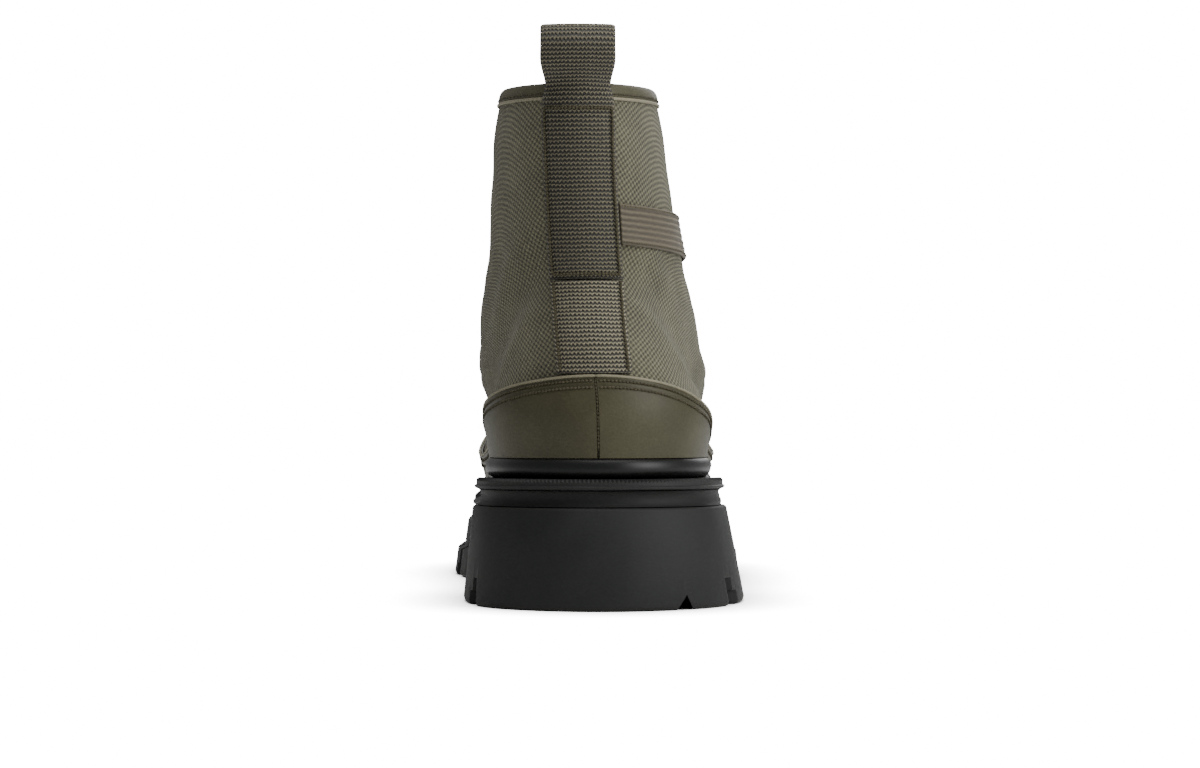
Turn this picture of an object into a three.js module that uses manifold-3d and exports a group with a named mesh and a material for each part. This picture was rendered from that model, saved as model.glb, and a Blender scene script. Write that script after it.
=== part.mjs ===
// Lace-up outdoor boot for the right foot, in millimetres, +Z up.
// The toe points to +Y, the lateral side is +X, and the sole stands on z = 0.
import * as THREE from 'three';
import { mergeVertices } from 'three/addons/utils/BufferGeometryUtils.js';
import Module from 'manifold-3d';

const wasm = await Module();
wasm.setup();

// Driving dimensions of the sole. The ledges are how far the welt stands out past the rand.
const SIDE_LEDGE = 0.7;
const HEEL_LEDGE = 2;
const TOE_LEDGE = 4.4;
const HEEL_BLOCK = 33.7;
const BALL_BLOCK = 21.5;
const TOE_BLOCK = 29.5;
const TOE_SPRING = 9;
const SPRING_START = 0.74;
const SPRING_CURVE = 1.8;
const TOE_RISE_START = 0.7;
const TOE_RISE_CURVE = 1.7;
const SOLE_FLARE = 6.5;
const BLOCK_STEP = 0.5;
const BLOCK_STEP_FRONT = 1.3;
const EDGE_CHAMFER = 1.5;
const LUG_STEP = 2.4;
const LUG_STEP_HEIGHT = 17;
const LUG_DEPTH = 5;
const GROOVE_WIDTH = 6;
const SIDE_SLOT_DEPTH = 6;
const ARCH_HEIGHT = 9;
const NOTCH_WIDTH = 6.5;
const NOTCH_HEIGHT = 5;
const NOTCH_OFFSET = 28.5;
const MIDSOLE_HEIGHT = 5.2;
const MIDSOLE_INSET = 2.4;
const WELT_HEIGHT = 3.6;
const WELT_RIDGE = 0.7;
const RAND_HEIGHT = 6.4;
const RAND_DEPTH = 3.3;

// Driving dimensions of the upper, its overlays and its fittings
const UPPER_LENGTH = 287;
const UPPER_BALL_WIDTH = 90;
const UPPER_HEIGHT = 126.4;
const WALL = 2.6;
const INSOLE_THICKNESS = 4;
const FOXING_THICKNESS = 1.2;
const TAPE_THICKNESS = 1.0;
const TAPE_WIDTH = 13.6;
const TAPE_DROP = 42;
const TAPE_FALL = 5;
const WEBBING_WIDTH = 24.6;
const WEBBING_THICKNESS = 1.6;
const WEBBING_JOINT_DROP = 61;
const LOOP_RISE = 23.6;
const LOOP_REACH = 7;
const LOOP_INSIDE = 30;
const BINDING_HEIGHT = 4;
const BINDING_THICKNESS = 2.5;
const BINDING_INSET = 0.9;
const THROAT_WIDTH = 28;
const EYESTAY_WIDTH = 21;
const EYESTAY_THICKNESS = 1.4;
const EYELET_COUNT = 6;
const EYELET_INSET = 8.5;
const EYELET_RADIUS = 4.4;
const EYELET_BORE = 2.4;
const EYELET_WALL = 0.5;
const EYELET_FLANGE = 0.8;
const EYELET_LIFT = 0.6;
const TONGUE_WIDTH = 58;
const TONGUE_TIP_ROUNDING = 4;
const TONGUE_THICKNESS = 3;
const TONGUE_RISE = 7;
const LACE_RADIUS = 1.8;

// Clearances
const SEAT_GAP = 0.3;
const SKIN_GAP = 0.5;

// Mesh fineness: columns a side round the foot, and steps for numeric slopes
const SIDE_COLUMNS = 20;
const SLOPE_STEP = 0.004;

// Sole plan: fullness over a plain ellipse, and how much of SOLE_FLARE the block gains, along its length
const SOLE_PLAN = [
  { along: 0, medial: 1.55, lateral: 1.55, medialFlare: 0.4, lateralFlare: 0.4, lift: 1 },
  { along: 0.05, medial: 1.5, lateral: 1.5, medialFlare: 0.4, lateralFlare: 0.55, lift: 0.985 },
  { along: 0.12, medial: 1.28, lateral: 1.3, medialFlare: 0.42, lateralFlare: 0.85, lift: 0.955 },
  { along: 0.2, medial: 1.09, lateral: 1.12, medialFlare: 0.5, lateralFlare: 0.95, lift: 0.915 },
  { along: 0.3, medial: 0.935, lateral: 0.98, medialFlare: 0.5, lateralFlare: 0.85, lift: 0.82 },
  { along: 0.42, medial: 0.8, lateral: 0.91, medialFlare: 0.55, lateralFlare: 0.75, lift: 0.55 },
  { along: 0.55, medial: 0.88, lateral: 0.97, medialFlare: 0.85, lateralFlare: 0.85, lift: 0.2 },
  { along: 0.65, medial: 1.02, lateral: 1.035, medialFlare: 1, lateralFlare: 1, lift: 0 },
  { along: 0.74, medial: 1.135, lateral: 1.09, medialFlare: 1, lateralFlare: 1, lift: 0 },
  { along: 0.82, medial: 1.22, lateral: 1.17, medialFlare: 0.95, lateralFlare: 0.95, lift: 0 },
  { along: 0.9, medial: 1.3, lateral: 1.23, medialFlare: 0.8, lateralFlare: 0.8, lift: 0 },
  { along: 0.96, medial: 1.38, lateral: 1.29, medialFlare: 0.55, lateralFlare: 0.55, lift: 0 },
  { along: 1, medial: 1.45, lateral: 1.33, medialFlare: 0.4, lateralFlare: 0.4, lift: 0 },
];

// Upper plan: fullness over a plain ellipse at the foot and at the shaft
const UPPER_PLAN = [
  { along: 0, footMedial: 1.42, footLateral: 1.42, shaft: 0.94 },
  { along: 0.05, footMedial: 1.37, footLateral: 1.37, shaft: 0.95 },
  { along: 0.12, footMedial: 1.2, footLateral: 1.2, shaft: 0.97 },
  { along: 0.2, footMedial: 1.045, footLateral: 1.05, shaft: 0.985 },
  { along: 0.3, footMedial: 0.92, footLateral: 0.935, shaft: 1 },
  { along: 0.42, footMedial: 0.845, footLateral: 0.885, shaft: 1 },
  { along: 0.55, footMedial: 0.9, footLateral: 0.95, shaft: 1 },
  { along: 0.65, footMedial: 1.01, footLateral: 1.01, shaft: 1 },
  { along: 0.74, footMedial: 1.12, footLateral: 1.06, shaft: 1 },
  { along: 0.82, footMedial: 1.2, footLateral: 1.13, shaft: 1 },
  { along: 0.9, footMedial: 1.27, footLateral: 1.2, shaft: 1.01 },
  { along: 0.96, footMedial: 1.33, footLateral: 1.24, shaft: 1.02 },
  { along: 1, footMedial: 1.38, footLateral: 1.28, shaft: 1.03 },
];

// Upper sections from the feather line to the collar. back and front are shares of UPPER_LENGTH,
// riseBack and riseFront of UPPER_HEIGHT over the welt, width of UPPER_BALL_WIDTH, lean of it too.
// foot is 1 for the plan of the foot and 0 for the shaft, sole is how far the section follows the sole.
const UPPER_SECTIONS = [
  { riseBack: 0.0, riseFront: 0.0, back: 0.0084, front: 0.997, width: 0.935, lean: 0, foot: 1, sole: 1 },
  { riseBack: 0.051, riseFront: 0.051, back: 0.007, front: 1.002, width: 0.955, lean: 0, foot: 1, sole: 1 },
  { riseBack: 0.145, riseFront: 0.132, back: 0, front: 0.995, width: 1, lean: -0.002, foot: 1, sole: 0.92 },
  { riseBack: 0.208, riseFront: 0.195, back: 0.0021, front: 0.964, width: 0.985, lean: -0.006, foot: 1, sole: 0.8 },
  { riseBack: 0.268, riseFront: 0.242, back: 0.0087, front: 0.904, width: 0.972, lean: -0.014, foot: 0.6, sole: 0.6 },
  { riseBack: 0.327, riseFront: 0.29, back: 0.0112, front: 0.817, width: 0.958, lean: -0.022, foot: 0.36, sole: 0.4 },
  { riseBack: 0.383, riseFront: 0.344, back: 0.0174, front: 0.727, width: 0.912, lean: -0.03, foot: 0.2, sole: 0.22 },
  { riseBack: 0.446, riseFront: 0.415, back: 0.0293, front: 0.64, width: 0.868, lean: -0.037, foot: 0.08, sole: 0.1 },
  { riseBack: 0.505, riseFront: 0.502, back: 0.039, front: 0.563, width: 0.824, lean: -0.042, foot: 0, sole: 0 },
  { riseBack: 0.573, riseFront: 0.605, back: 0.0432, front: 0.497, width: 0.773, lean: -0.05, foot: 0, sole: 0 },
  { riseBack: 0.668, riseFront: 0.724, back: 0.0411, front: 0.445, width: 0.722, lean: -0.058, foot: 0, sole: 0 },
  { riseBack: 0.778, riseFront: 0.842, back: 0.0355, front: 0.413, width: 0.693, lean: -0.067, foot: 0, sole: 0 },
  { riseBack: 0.889, riseFront: 0.953, back: 0.0279, front: 0.399, width: 0.665, lean: -0.073, foot: 0, sole: 0 },
  { riseBack: 1, riseFront: 1.064, back: 0.0223, front: 0.399, width: 0.607, lean: -0.076, foot: 0, sole: 0 },
];
const FEATHER_ROW = 0;
const RAND_ROW = 1;
const THROAT_ROW = 6;
const COLLAR_ROW = UPPER_SECTIONS.length - 1;

// Top edge of the foxing, in rows of UPPER_SECTIONS, from the back seam to the toe
const FOXING_TOP = [
  { along: 0, medial: 3.98, lateral: 3.98 },
  { along: 0.03, medial: 3.72, lateral: 3.66 },
  { along: 0.09, medial: 3.3, lateral: 3.0 },
  { along: 0.2, medial: 2.7, lateral: 2.2 },
  { along: 0.34, medial: 2.05, lateral: 1.85 },
  { along: 0.55, medial: 1.8, lateral: 1.8 },
  { along: 0.74, medial: 2.0, lateral: 2.0 },
  { along: 0.88, medial: 2.8, lateral: 2.75 },
  { along: 1, medial: 3.5, lateral: 3.5 },
];

// Half of the throat's width in shares of THROAT_WIDTH, up the rows from THROAT_ROW
const THROAT_SHAPE = [
  { row: 6, half: 0 },
  { row: 6.12, half: 0.2 },
  { row: 6.4, half: 0.32 },
  { row: 7, half: 0.4 },
  { row: 8, half: 0.44 },
  { row: 10, half: 0.48 },
  { row: 13, half: 0.5 },
];

// Smooth value of one column of a table at a place on another column
function lookUp(table, key, column, place) {
  const last = table.length - 1;
  const at = Math.min(Math.max(place, table[0][key]), table[last][key]);
  let row = 0;
  while (row < last - 1 && at > table[row + 1][key]) {
    row += 1;
  }
  const here = table[row];
  const next = table[row + 1];
  const before = table[Math.max(row - 1, 0)];
  const after = table[Math.min(row + 2, last)];
  const span = next[key] - here[key];
  const slopeHere = ((next[column] - before[column]) / (next[key] - before[key])) * span;
  const slopeNext = ((after[column] - here[column]) / (after[key] - here[key])) * span;
  const part = (at - here[key]) / span;
  const square = part * part;
  const cube = square * part;
  return (2 * cube - 3 * square + 1) * here[column] + (cube - 2 * square + part) * slopeHere
    + (3 * square - 2 * cube) * next[column] + (cube - square) * slopeNext;
}

function mix(low, high, part) {
  return low + (high - low) * part;
}

// A place round the foot is a turn: 0 at the back, 1 at the toe by the lateral side, -1 by the medial
function alongOf(turn) {
  return (1 - Math.cos(Math.PI * turn)) / 2;
}

const turns = [];
for (let column = 1 - SIDE_COLUMNS; column <= SIDE_COLUMNS; column += 1) {
  turns.push(column / SIDE_COLUMNS);
}

// Height of the outsole's top, from heel, ball and toe
function blockTop(along) {
  const lift = lookUp(SOLE_PLAN, 'along', 'lift', along);
  const toe = Math.max((along - TOE_RISE_START) / (1 - TOE_RISE_START), 0) ** TOE_RISE_CURVE;
  return BALL_BLOCK + (HEEL_BLOCK - BALL_BLOCK) * lift + (TOE_BLOCK - BALL_BLOCK) * toe;
}

function groundLine(along) {
  return TOE_SPRING * Math.max((along - SPRING_START) / (1 - SPRING_START), 0) ** SPRING_CURVE;
}

const midsoleBottom = SEAT_GAP;
const midsoleTop = midsoleBottom + MIDSOLE_HEIGHT;
const weltBottom = midsoleTop + SEAT_GAP;
const weltTop = weltBottom + WELT_HEIGHT;
const upperBottom = weltTop + SEAT_GAP;
const soleLength = UPPER_LENGTH + HEEL_LEDGE + TOE_LEDGE + 2 * RAND_DEPTH;
const soleBallWidth = UPPER_BALL_WIDTH + 2 * (SIDE_LEDGE + RAND_DEPTH);
const soleStart = SOLE_FLARE * SOLE_PLAN[0].medialFlare + BLOCK_STEP;
const upperBack = soleStart + HEEL_LEDGE + RAND_DEPTH;
const collarBack = blockTop(0) + upperBottom + UPPER_HEIGHT;

// Edge of the welt seen from above, moved out by outset
function soleEdge(turn, outset) {
  const plan = (place) => {
    const along = alongOf(place);
    const column = place < 0 ? 'medial' : 'lateral';
    const full = lookUp(SOLE_PLAN, 'along', column, along);
    return [soleBallWidth / 2 * full * Math.sin(Math.PI * place), soleStart + soleLength * along];
  };
  const [x, y] = plan(turn);
  const [x0, y0] = plan(turn - SLOPE_STEP);
  const [x1, y1] = plan(turn + SLOPE_STEP);
  const length = Math.hypot(x1 - x0, y1 - y0);
  return [x + outset * (y1 - y0) / length, y - outset * (x1 - x0) / length];
}

// Upper's own surface: one section row, between the rows of the table, and a place round it
function sectionAt(row) {
  const columns = ['riseBack', 'riseFront', 'back', 'front', 'width', 'lean', 'foot', 'sole'];
  const section = {};
  for (const column of columns) {
    section[column] = lookUp(UPPER_ROWS, 'row', column, row);
  }
  return section;
}
const UPPER_ROWS = UPPER_SECTIONS.map((section, row) => ({ row, ...section }));

function upperPoint(row, turn) {
  const held = Math.min(Math.max(row, 0), COLLAR_ROW);
  const section = sectionAt(held);
  const along = alongOf(turn);
  const folded = Math.abs(turn) > 1 ? -turn : turn;
  const foot = lookUp(UPPER_PLAN, 'along', folded < 0 ? 'footMedial' : 'footLateral', along);
  const shaft = lookUp(UPPER_PLAN, 'along', 'shaft', along);
  const full = mix(shaft, foot, section.foot);
  const x = UPPER_BALL_WIDTH * (section.lean + section.width / 2 * full * Math.sin(Math.PI * turn));
  const y = upperBack + UPPER_LENGTH * mix(section.back, section.front, along);
  const soleCurve = blockTop(along) - mix(blockTop(0), blockTop(1), along);
  const straight = mix(blockTop(0), blockTop(1), along) + upperBottom;
  const rise = UPPER_HEIGHT * mix(section.riseBack, section.riseFront, along);
  return new THREE.Vector3(x, y, straight + rise + section.sole * soleCurve);
}

function upperNormal(row, turn) {
  const rowLow = Math.max(row - 0.02, 0);
  const rowHigh = Math.min(row + 0.02, COLLAR_ROW);
  const up = upperPoint(rowHigh, turn).sub(upperPoint(rowLow, turn));
  const round = upperPoint(row, turn + SLOPE_STEP).sub(upperPoint(row, turn - SLOPE_STEP));
  return round.cross(up).normalize();
}

// The same normal without its upright part, for edges that stay level
function levelNormal(row, turn) {
  const normal = upperNormal(row, turn);
  normal.z = 0;
  return normal.normalize();
}

function upperSkin(row, turn, height) {
  return upperPoint(row, turn).addScaledVector(upperNormal(row, turn), height);
}

function rowAtBack(level) {
  let low = 0;
  let high = COLLAR_ROW;
  for (let pass = 0; pass < 30; pass += 1) {
    const middle = (low + high) / 2;
    if (upperPoint(middle, 0).z < level) {
      low = middle;
    } else {
      high = middle;
    }
  }
  return low;
}

// Turn that lies a given distance round one section from another turn
function turnAfter(row, start, distance) {
  const step = Math.sign(distance) * SLOPE_STEP;
  const wanted = Math.abs(distance);
  let turn = start;
  let gone = 0;
  let last = upperPoint(row, turn);
  while (gone < wanted) {
    const next = upperPoint(row, turn + step);
    const stride = next.distanceTo(last);
    turn += step * Math.min((wanted - gone) / stride, 1);
    gone += stride;
    last = next;
  }
  return turn;
}

function throatHalf(row) {
  return THROAT_WIDTH * lookUp(THROAT_SHAPE, 'row', 'half', row);
}

function throatEdge(row) {
  if (row <= THROAT_ROW) {
    return 1;
  }
  return turnAfter(row, 1, -throatHalf(row));
}

// Solids from lists of points
function geometryOf(positions, faces) {
  const geometry = new THREE.BufferGeometry();
  geometry.setAttribute('position', new THREE.Float32BufferAttribute(positions.flatMap((p) => [p.x, p.y, p.z]), 3));
  geometry.setIndex(faces.flat());
  return outward(mergeVertices(geometry, 1e-4));
}

function outward(geometry) {
  const index = geometry.index.array;
  const place = geometry.attributes.position;
  const a = new THREE.Vector3();
  const b = new THREE.Vector3();
  const c = new THREE.Vector3();
  const kept = [];
  let volume = 0;
  for (let corner = 0; corner < index.length; corner += 3) {
    const [i, j, k] = [index[corner], index[corner + 1], index[corner + 2]];
    if (i === j || j === k || i === k) {
      continue;
    }
    a.fromBufferAttribute(place, i);
    b.fromBufferAttribute(place, j);
    c.fromBufferAttribute(place, k);
    volume += a.dot(b.cross(c));
    kept.push([i, j, k]);
  }
  geometry.setIndex(kept.flatMap((face) => (volume < 0 ? [face[0], face[2], face[1]] : face)));
  return geometry;
}

// A wall between an outer and an inner skin, on a grid of rows and columns.
// In a band where isRound is true, the first and last column lie on each other.
function wallSolid(rowCount, columnCount, skinPoint, isRound = () => false) {
  const positions = [];
  const faces = [];
  for (const side of [0, 1]) {
    for (let row = 0; row < rowCount; row += 1) {
      for (let column = 0; column < columnCount; column += 1) {
        positions.push(skinPoint(row, column, side));
      }
    }
  }
  const at = (row, column, side) => (side * rowCount + row) * columnCount + column;
  const quad = (a, b, c, d) => faces.push([a, b, c], [a, c, d]);
  for (let row = 0; row < rowCount - 1; row += 1) {
    for (let column = 0; column < columnCount - 1; column += 1) {
      quad(at(row, column, 0), at(row, column + 1, 0), at(row + 1, column + 1, 0), at(row + 1, column, 0));
      quad(at(row, column, 1), at(row + 1, column, 1), at(row + 1, column + 1, 1), at(row, column + 1, 1));
    }
    if (!isRound(row)) {
      const last = columnCount - 1;
      quad(at(row, 0, 0), at(row + 1, 0, 0), at(row + 1, 0, 1), at(row, 0, 1));
      quad(at(row, last, 0), at(row, last, 1), at(row + 1, last, 1), at(row + 1, last, 0));
    }
  }
  for (let column = 0; column < columnCount - 1; column += 1) {
    const top = rowCount - 1;
    quad(at(0, column, 0), at(0, column, 1), at(0, column + 1, 1), at(0, column + 1, 0));
    quad(at(top, column, 0), at(top, column + 1, 0), at(top, column + 1, 1), at(top, column, 1));
  }
  return geometryOf(positions, faces);
}

// A bar of a convex section along stations, closed on itself or with flat ends
function barSolid(sectionCount, stationCount, sectionPoint, isClosed) {
  const positions = [];
  const faces = [];
  for (let station = 0; station < stationCount; station += 1) {
    for (let corner = 0; corner < sectionCount; corner += 1) {
      positions.push(sectionPoint(corner, station));
    }
  }
  const at = (corner, station) => (station % stationCount) * sectionCount + (corner % sectionCount);
  const bands = isClosed ? stationCount : stationCount - 1;
  for (let station = 0; station < bands; station += 1) {
    for (let corner = 0; corner < sectionCount; corner += 1) {
      const [a, b] = [at(corner, station), at(corner + 1, station)];
      const [c, d] = [at(corner + 1, station + 1), at(corner, station + 1)];
      faces.push([a, b, c], [a, c, d]);
    }
  }
  if (!isClosed) {
    for (let corner = 1; corner < sectionCount - 1; corner += 1) {
      faces.push([at(0, 0), at(corner + 1, 0), at(corner, 0)]);
      const end = stationCount - 1;
      faces.push([at(0, end), at(corner, end), at(corner + 1, end)]);
    }
  }
  return geometryOf(positions, faces);
}

// A plate between loops that share their turns, closed by rungs from side to side
function plateSolid(loopCount, loopPoint) {
  const positions = [];
  const faces = [];
  const count = turns.length;
  for (let loop = 0; loop < loopCount; loop += 1) {
    for (const turn of turns) {
      positions.push(loopPoint(loop, turn));
    }
  }
  for (let loop = 0; loop < loopCount - 1; loop += 1) {
    for (let column = 0; column < count; column += 1) {
      const next = (column + 1) % count;
      const [a, b] = [loop * count + column, loop * count + next];
      faces.push([a, b, b + count], [a, b + count, a + count]);
    }
  }
  const back = SIDE_COLUMNS - 1;
  const top = (loopCount - 1) * count;
  for (let rung = 0; rung < SIDE_COLUMNS; rung += 1) {
    const [left, right] = [back - rung, back + rung];
    const [leftNext, rightNext] = [(back - rung - 1 + count) % count, back + rung + 1];
    faces.push([left, leftNext, rightNext], [left, rightNext, right]);
    faces.push([top + left, top + rightNext, top + leftNext], [top + left, top + right, top + rightNext]);
  }
  return geometryOf(positions, faces);
}

// Joins and cuts
function toSolid(geometry) {
  const bare = geometry.clone();
  bare.deleteAttribute('normal');
  bare.deleteAttribute('uv');
  const merged = mergeVertices(bare, 1e-4);
  const triangles = merged.index ? merged.index.array : [...Array(merged.attributes.position.count).keys()];
  return new wasm.Manifold(new wasm.Mesh({
    numProp: 3,
    vertProperties: new Float32Array(merged.attributes.position.array),
    triVerts: new Uint32Array(triangles),
  }));
}

function toGeometry(solid) {
  const mesh = solid.getMesh();
  const geometry = new THREE.BufferGeometry();
  geometry.setAttribute('position', new THREE.Float32BufferAttribute(mesh.vertProperties, 3));
  geometry.setIndex([...mesh.triVerts]);
  return geometry;
}

function cutAway(geometry, cutters) {
  let solid = toSolid(geometry);
  for (const cutter of cutters) {
    solid = solid.subtract(toSolid(cutter));
  }
  return toGeometry(solid);
}

function joinAll(geometries) {
  return toGeometry(geometries.map(toSolid).reduce((whole, next) => whole.add(next)));
}

// A box between two corners, turned about +Z at its middle
function boxBetween(low, high, turn = 0) {
  const size = high.map((value, axis) => value - low[axis]);
  const geometry = new THREE.BoxGeometry(...size);
  geometry.rotateZ(turn);
  return geometry.translate(...high.map((value, axis) => (value + low[axis]) / 2));
}

// Outsole
const ARCH_START = 0.3;
const ARCH_END = 0.44;
const soleReach = soleBallWidth;
const soleY = (along) => soleStart + soleLength * along;

function outsoleBlock() {
  const levels = [
    { outset: (flare) => flare - EDGE_CHAMFER * 0.7, height: (low) => low },
    { outset: (flare) => flare, height: (low) => low + EDGE_CHAMFER },
    { outset: (flare, top, step) => mix(flare, top, 0.45) + step / 2, height: (low, high) => mix(low, high, 0.47) },
    { outset: (flare, top, step) => mix(flare, top, 0.5) - step / 2, height: (low, high) => mix(low, high, 0.53) },
    { outset: (flare, top) => top, height: (low, high) => high - EDGE_CHAMFER * 0.5 },
    { outset: (flare, top) => top - EDGE_CHAMFER * 0.5, height: (low, high) => high },
  ];
  return plateSolid(levels.length, (loop, turn) => {
    const along = alongOf(turn);
    const level = levels[loop];
    const column = turn < 0 ? 'medialFlare' : 'lateralFlare';
    const flare = BLOCK_STEP + SOLE_FLARE * lookUp(SOLE_PLAN, 'along', column, along);
    const front = Math.min(Math.max((along - ARCH_START) / (ARCH_END - ARCH_START), 0), 1);
    const top = BLOCK_STEP + BLOCK_STEP_FRONT * front;
    const [x, y] = soleEdge(turn, level.outset(flare, top, LUG_STEP * front));
    return new THREE.Vector3(x, y, level.height(groundLine(along), blockTop(along)));
  });
}

// The raised arch between heel and forefoot, as a cutter seen from the side
function archCutter() {
  const shape = new THREE.Shape();
  shape.moveTo(soleY(ARCH_START), -1);
  shape.lineTo(soleY(ARCH_START) + ARCH_HEIGHT * 0.25, ARCH_HEIGHT);
  shape.lineTo(soleY(ARCH_END) - ARCH_HEIGHT * 0.8, ARCH_HEIGHT * 0.75);
  shape.lineTo(soleY(ARCH_END), -1);
  const geometry = new THREE.ExtrudeGeometry(shape, { depth: 2 * soleReach, bevelEnabled: false });
  geometry.translate(0, 0, -soleReach);
  const frame = new THREE.Matrix4().set(0, 0, 1, 0, 1, 0, 0, 0, 0, 1, 0, 0, 0, 0, 0, 1);
  return geometry.applyMatrix4(frame);
}

// Grooves across the tread: place along the sole, and height of the slot that they open at the edge
const CROSS_GROOVES = [
  { along: 0.105, slot: 0.55 },
  { along: 0.205, slot: 0.55 },
  { along: 0.49, slot: 1 },
  { along: 0.56, slot: 1 },
  { along: 0.63, slot: 1 },
  { along: 0.7, slot: 1 },
  { along: 0.77, slot: 1 },
  { along: 0.84, slot: 1 },
  { along: 0.91, slot: 1 },
];
const GROOVE_SLANT = 0.16;
const CHANNEL_OFFSET = 0.19;

function grooveCutters() {
  const cutters = [];
  for (const groove of CROSS_GROOVES) {
    const y = soleY(groove.along);
    const low = groundLine(groove.along);
    const half = GROOVE_WIDTH / 2;
    for (const side of [-1, 1]) {
      const [edge] = soleEdge(side * Math.acos(1 - 2 * groove.along) / Math.PI, SOLE_FLARE);
      const inner = [Math.min(0, side * soleReach), y - half, low - TOE_SPRING];
      const outer = [Math.max(0, side * soleReach), y + half, low + LUG_DEPTH];
      cutters.push(boxBetween(inner, outer, side * GROOVE_SLANT));
      const slotEdge = edge - side * SIDE_SLOT_DEPTH;
      const slotTop = low + LUG_STEP_HEIGHT * groove.slot;
      const far = side * soleReach;
      const slotLow = [Math.min(slotEdge, far), y - half * 0.8, low - TOE_SPRING];
      const slotHigh = [Math.max(slotEdge, far), y + half * 0.8, slotTop];
      cutters.push(boxBetween(slotLow, slotHigh, side * GROOVE_SLANT));
    }
  }
  return cutters;
}

// V notch in the lower edge at the back of the heel, on the lateral side
function notchCutter() {
  const shape = new THREE.Shape();
  shape.moveTo(-NOTCH_WIDTH / 2, -1);
  shape.lineTo(NOTCH_WIDTH / 2, -1);
  shape.lineTo(NOTCH_WIDTH * 0.1, NOTCH_HEIGHT);
  const geometry = new THREE.ExtrudeGeometry(shape, { depth: soleReach * 0.25, bevelEnabled: false });
  geometry.rotateX(Math.PI / 2);
  return geometry.translate(NOTCH_OFFSET, soleReach * 0.2, 0);
}

function outsole() {
  return cutAway(outsoleBlock(), [archCutter(), ...grooveCutters(), notchCutter()]);
}

// Midsole and welt: loops of outset from the welt's edge and height over the outsole's top
function soleLayer(loops) {
  return plateSolid(loops.length, (loop, turn) => {
    const [outset, height] = loops[loop];
    const [x, y] = soleEdge(turn, outset);
    return new THREE.Vector3(x, y, blockTop(alongOf(turn)) + height);
  });
}

function midsole() {
  return soleLayer([
    [-MIDSOLE_INSET * 0.6, midsoleBottom],
    [-MIDSOLE_INSET, mix(midsoleBottom, midsoleTop, 0.35)],
    [-MIDSOLE_INSET, mix(midsoleBottom, midsoleTop, 0.75)],
    [-MIDSOLE_INSET * 0.6, midsoleTop],
  ]);
}

function welt() {
  return soleLayer([
    [-WELT_RIDGE, weltBottom],
    [0, weltBottom + WELT_RIDGE],
    [0, weltBottom + 1.6 * WELT_RIDGE],
    [-WELT_RIDGE, weltBottom + 2.2 * WELT_RIDGE],
    [-WELT_RIDGE, weltTop],
  ]);
}

// Rand: a round bead against the upper, on the welt
const RAND_SECTION = [
  { out: 0, up: 0 },
  { out: 0.62, up: 0 },
  { out: 0.92, up: 0.2 },
  { out: 1, up: 0.5 },
  { out: 0.92, up: 0.8 },
  { out: 0.62, up: 1 },
  { out: 0, up: 1 },
];

function rand() {
  const highRow = RAND_ROW * RAND_HEIGHT / (UPPER_HEIGHT * UPPER_SECTIONS[RAND_ROW].riseBack);
  return barSolid(RAND_SECTION.length, turns.length, (corner, station) => {
    const { out, up } = RAND_SECTION[corner];
    const turn = turns[station];
    const row = up * highRow;
    const foot = upperPoint(row, turn);
    return foot.addScaledVector(levelNormal(row, turn), SEAT_GAP + out * RAND_DEPTH);
  }, true);
}

// Insole: lies on the welt inside the upper
function insole() {
  const topRow = RAND_ROW * INSOLE_THICKNESS / (UPPER_HEIGHT * UPPER_SECTIONS[RAND_ROW].riseBack);
  return plateSolid(2, (loop, turn) => {
    const row = loop * topRow;
    return upperPoint(row, turn).addScaledVector(levelNormal(row, turn), -WALL - SKIN_GAP);
  });
}

// Upper: one wall from the feather line to the collar, cut open at the throat
const upperRowPlaces = [];
for (let row = 0; row <= COLLAR_ROW; row += 1) {
  upperRowPlaces.push(row);
}
upperRowPlaces.push(THROAT_ROW + 0.12, THROAT_ROW + 0.4);
upperRowPlaces.sort((a, b) => a - b);

function upperShell() {
  const columns = 2 * SIDE_COLUMNS + 1;
  return wallSolid(upperRowPlaces.length, columns, (rowIndex, column, side) => {
    const row = upperRowPlaces[rowIndex];
    const turn = (column / SIDE_COLUMNS - 1) * throatEdge(row);
    const isLevel = row === FEATHER_ROW || row === COLLAR_ROW;
    const normal = isLevel ? levelNormal(row, turn) : upperNormal(row, turn);
    return upperPoint(row, turn).addScaledVector(normal, -side * WALL);
  }, (rowIndex) => upperRowPlaces[rowIndex + 1] <= THROAT_ROW);
}

// Overlays on the upper: a wall between two heights over its surface
function overlay(rows, columns, place, inner, outer) {
  return wallSolid(rows, columns, (row, column, side) => {
    const [sectionRow, turn] = place(row / (rows - 1), column / (columns - 1), row, column);
    return upperSkin(sectionRow, turn, side === 0 ? outer : inner);
  });
}

// Foxing: two halves, from the back seam to the toe seam, over the rand
function foxing(side) {
  const bottomRow = RAND_ROW * (RAND_HEIGHT + SEAT_GAP) / (UPPER_HEIGHT * UPPER_SECTIONS[RAND_ROW].riseBack);
  const column = side < 0 ? 'medial' : 'lateral';
  const rows = 5;
  return overlay(rows, SIDE_COLUMNS + 1, (up, round, row, step) => {
    const seam = 0.3 / (Math.PI * UPPER_BALL_WIDTH / 2);
    const turn = Math.min(Math.max(step / SIDE_COLUMNS, seam), 1 - seam);
    const topRow = lookUp(FOXING_TOP, 'along', column, alongOf(turn));
    return [mix(bottomRow, topRow, up), side * turn];
  }, SKIN_GAP, SKIN_GAP + FOXING_THICKNESS);
}

// Webbing on the back line, between two heights
const STRAP_COLUMNS = 7;
const LOOP_BENDS = 6;

function strapTurn(row, across) {
  return turnAfter(row, 0, WEBBING_WIDTH / 2 * across);
}

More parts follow.
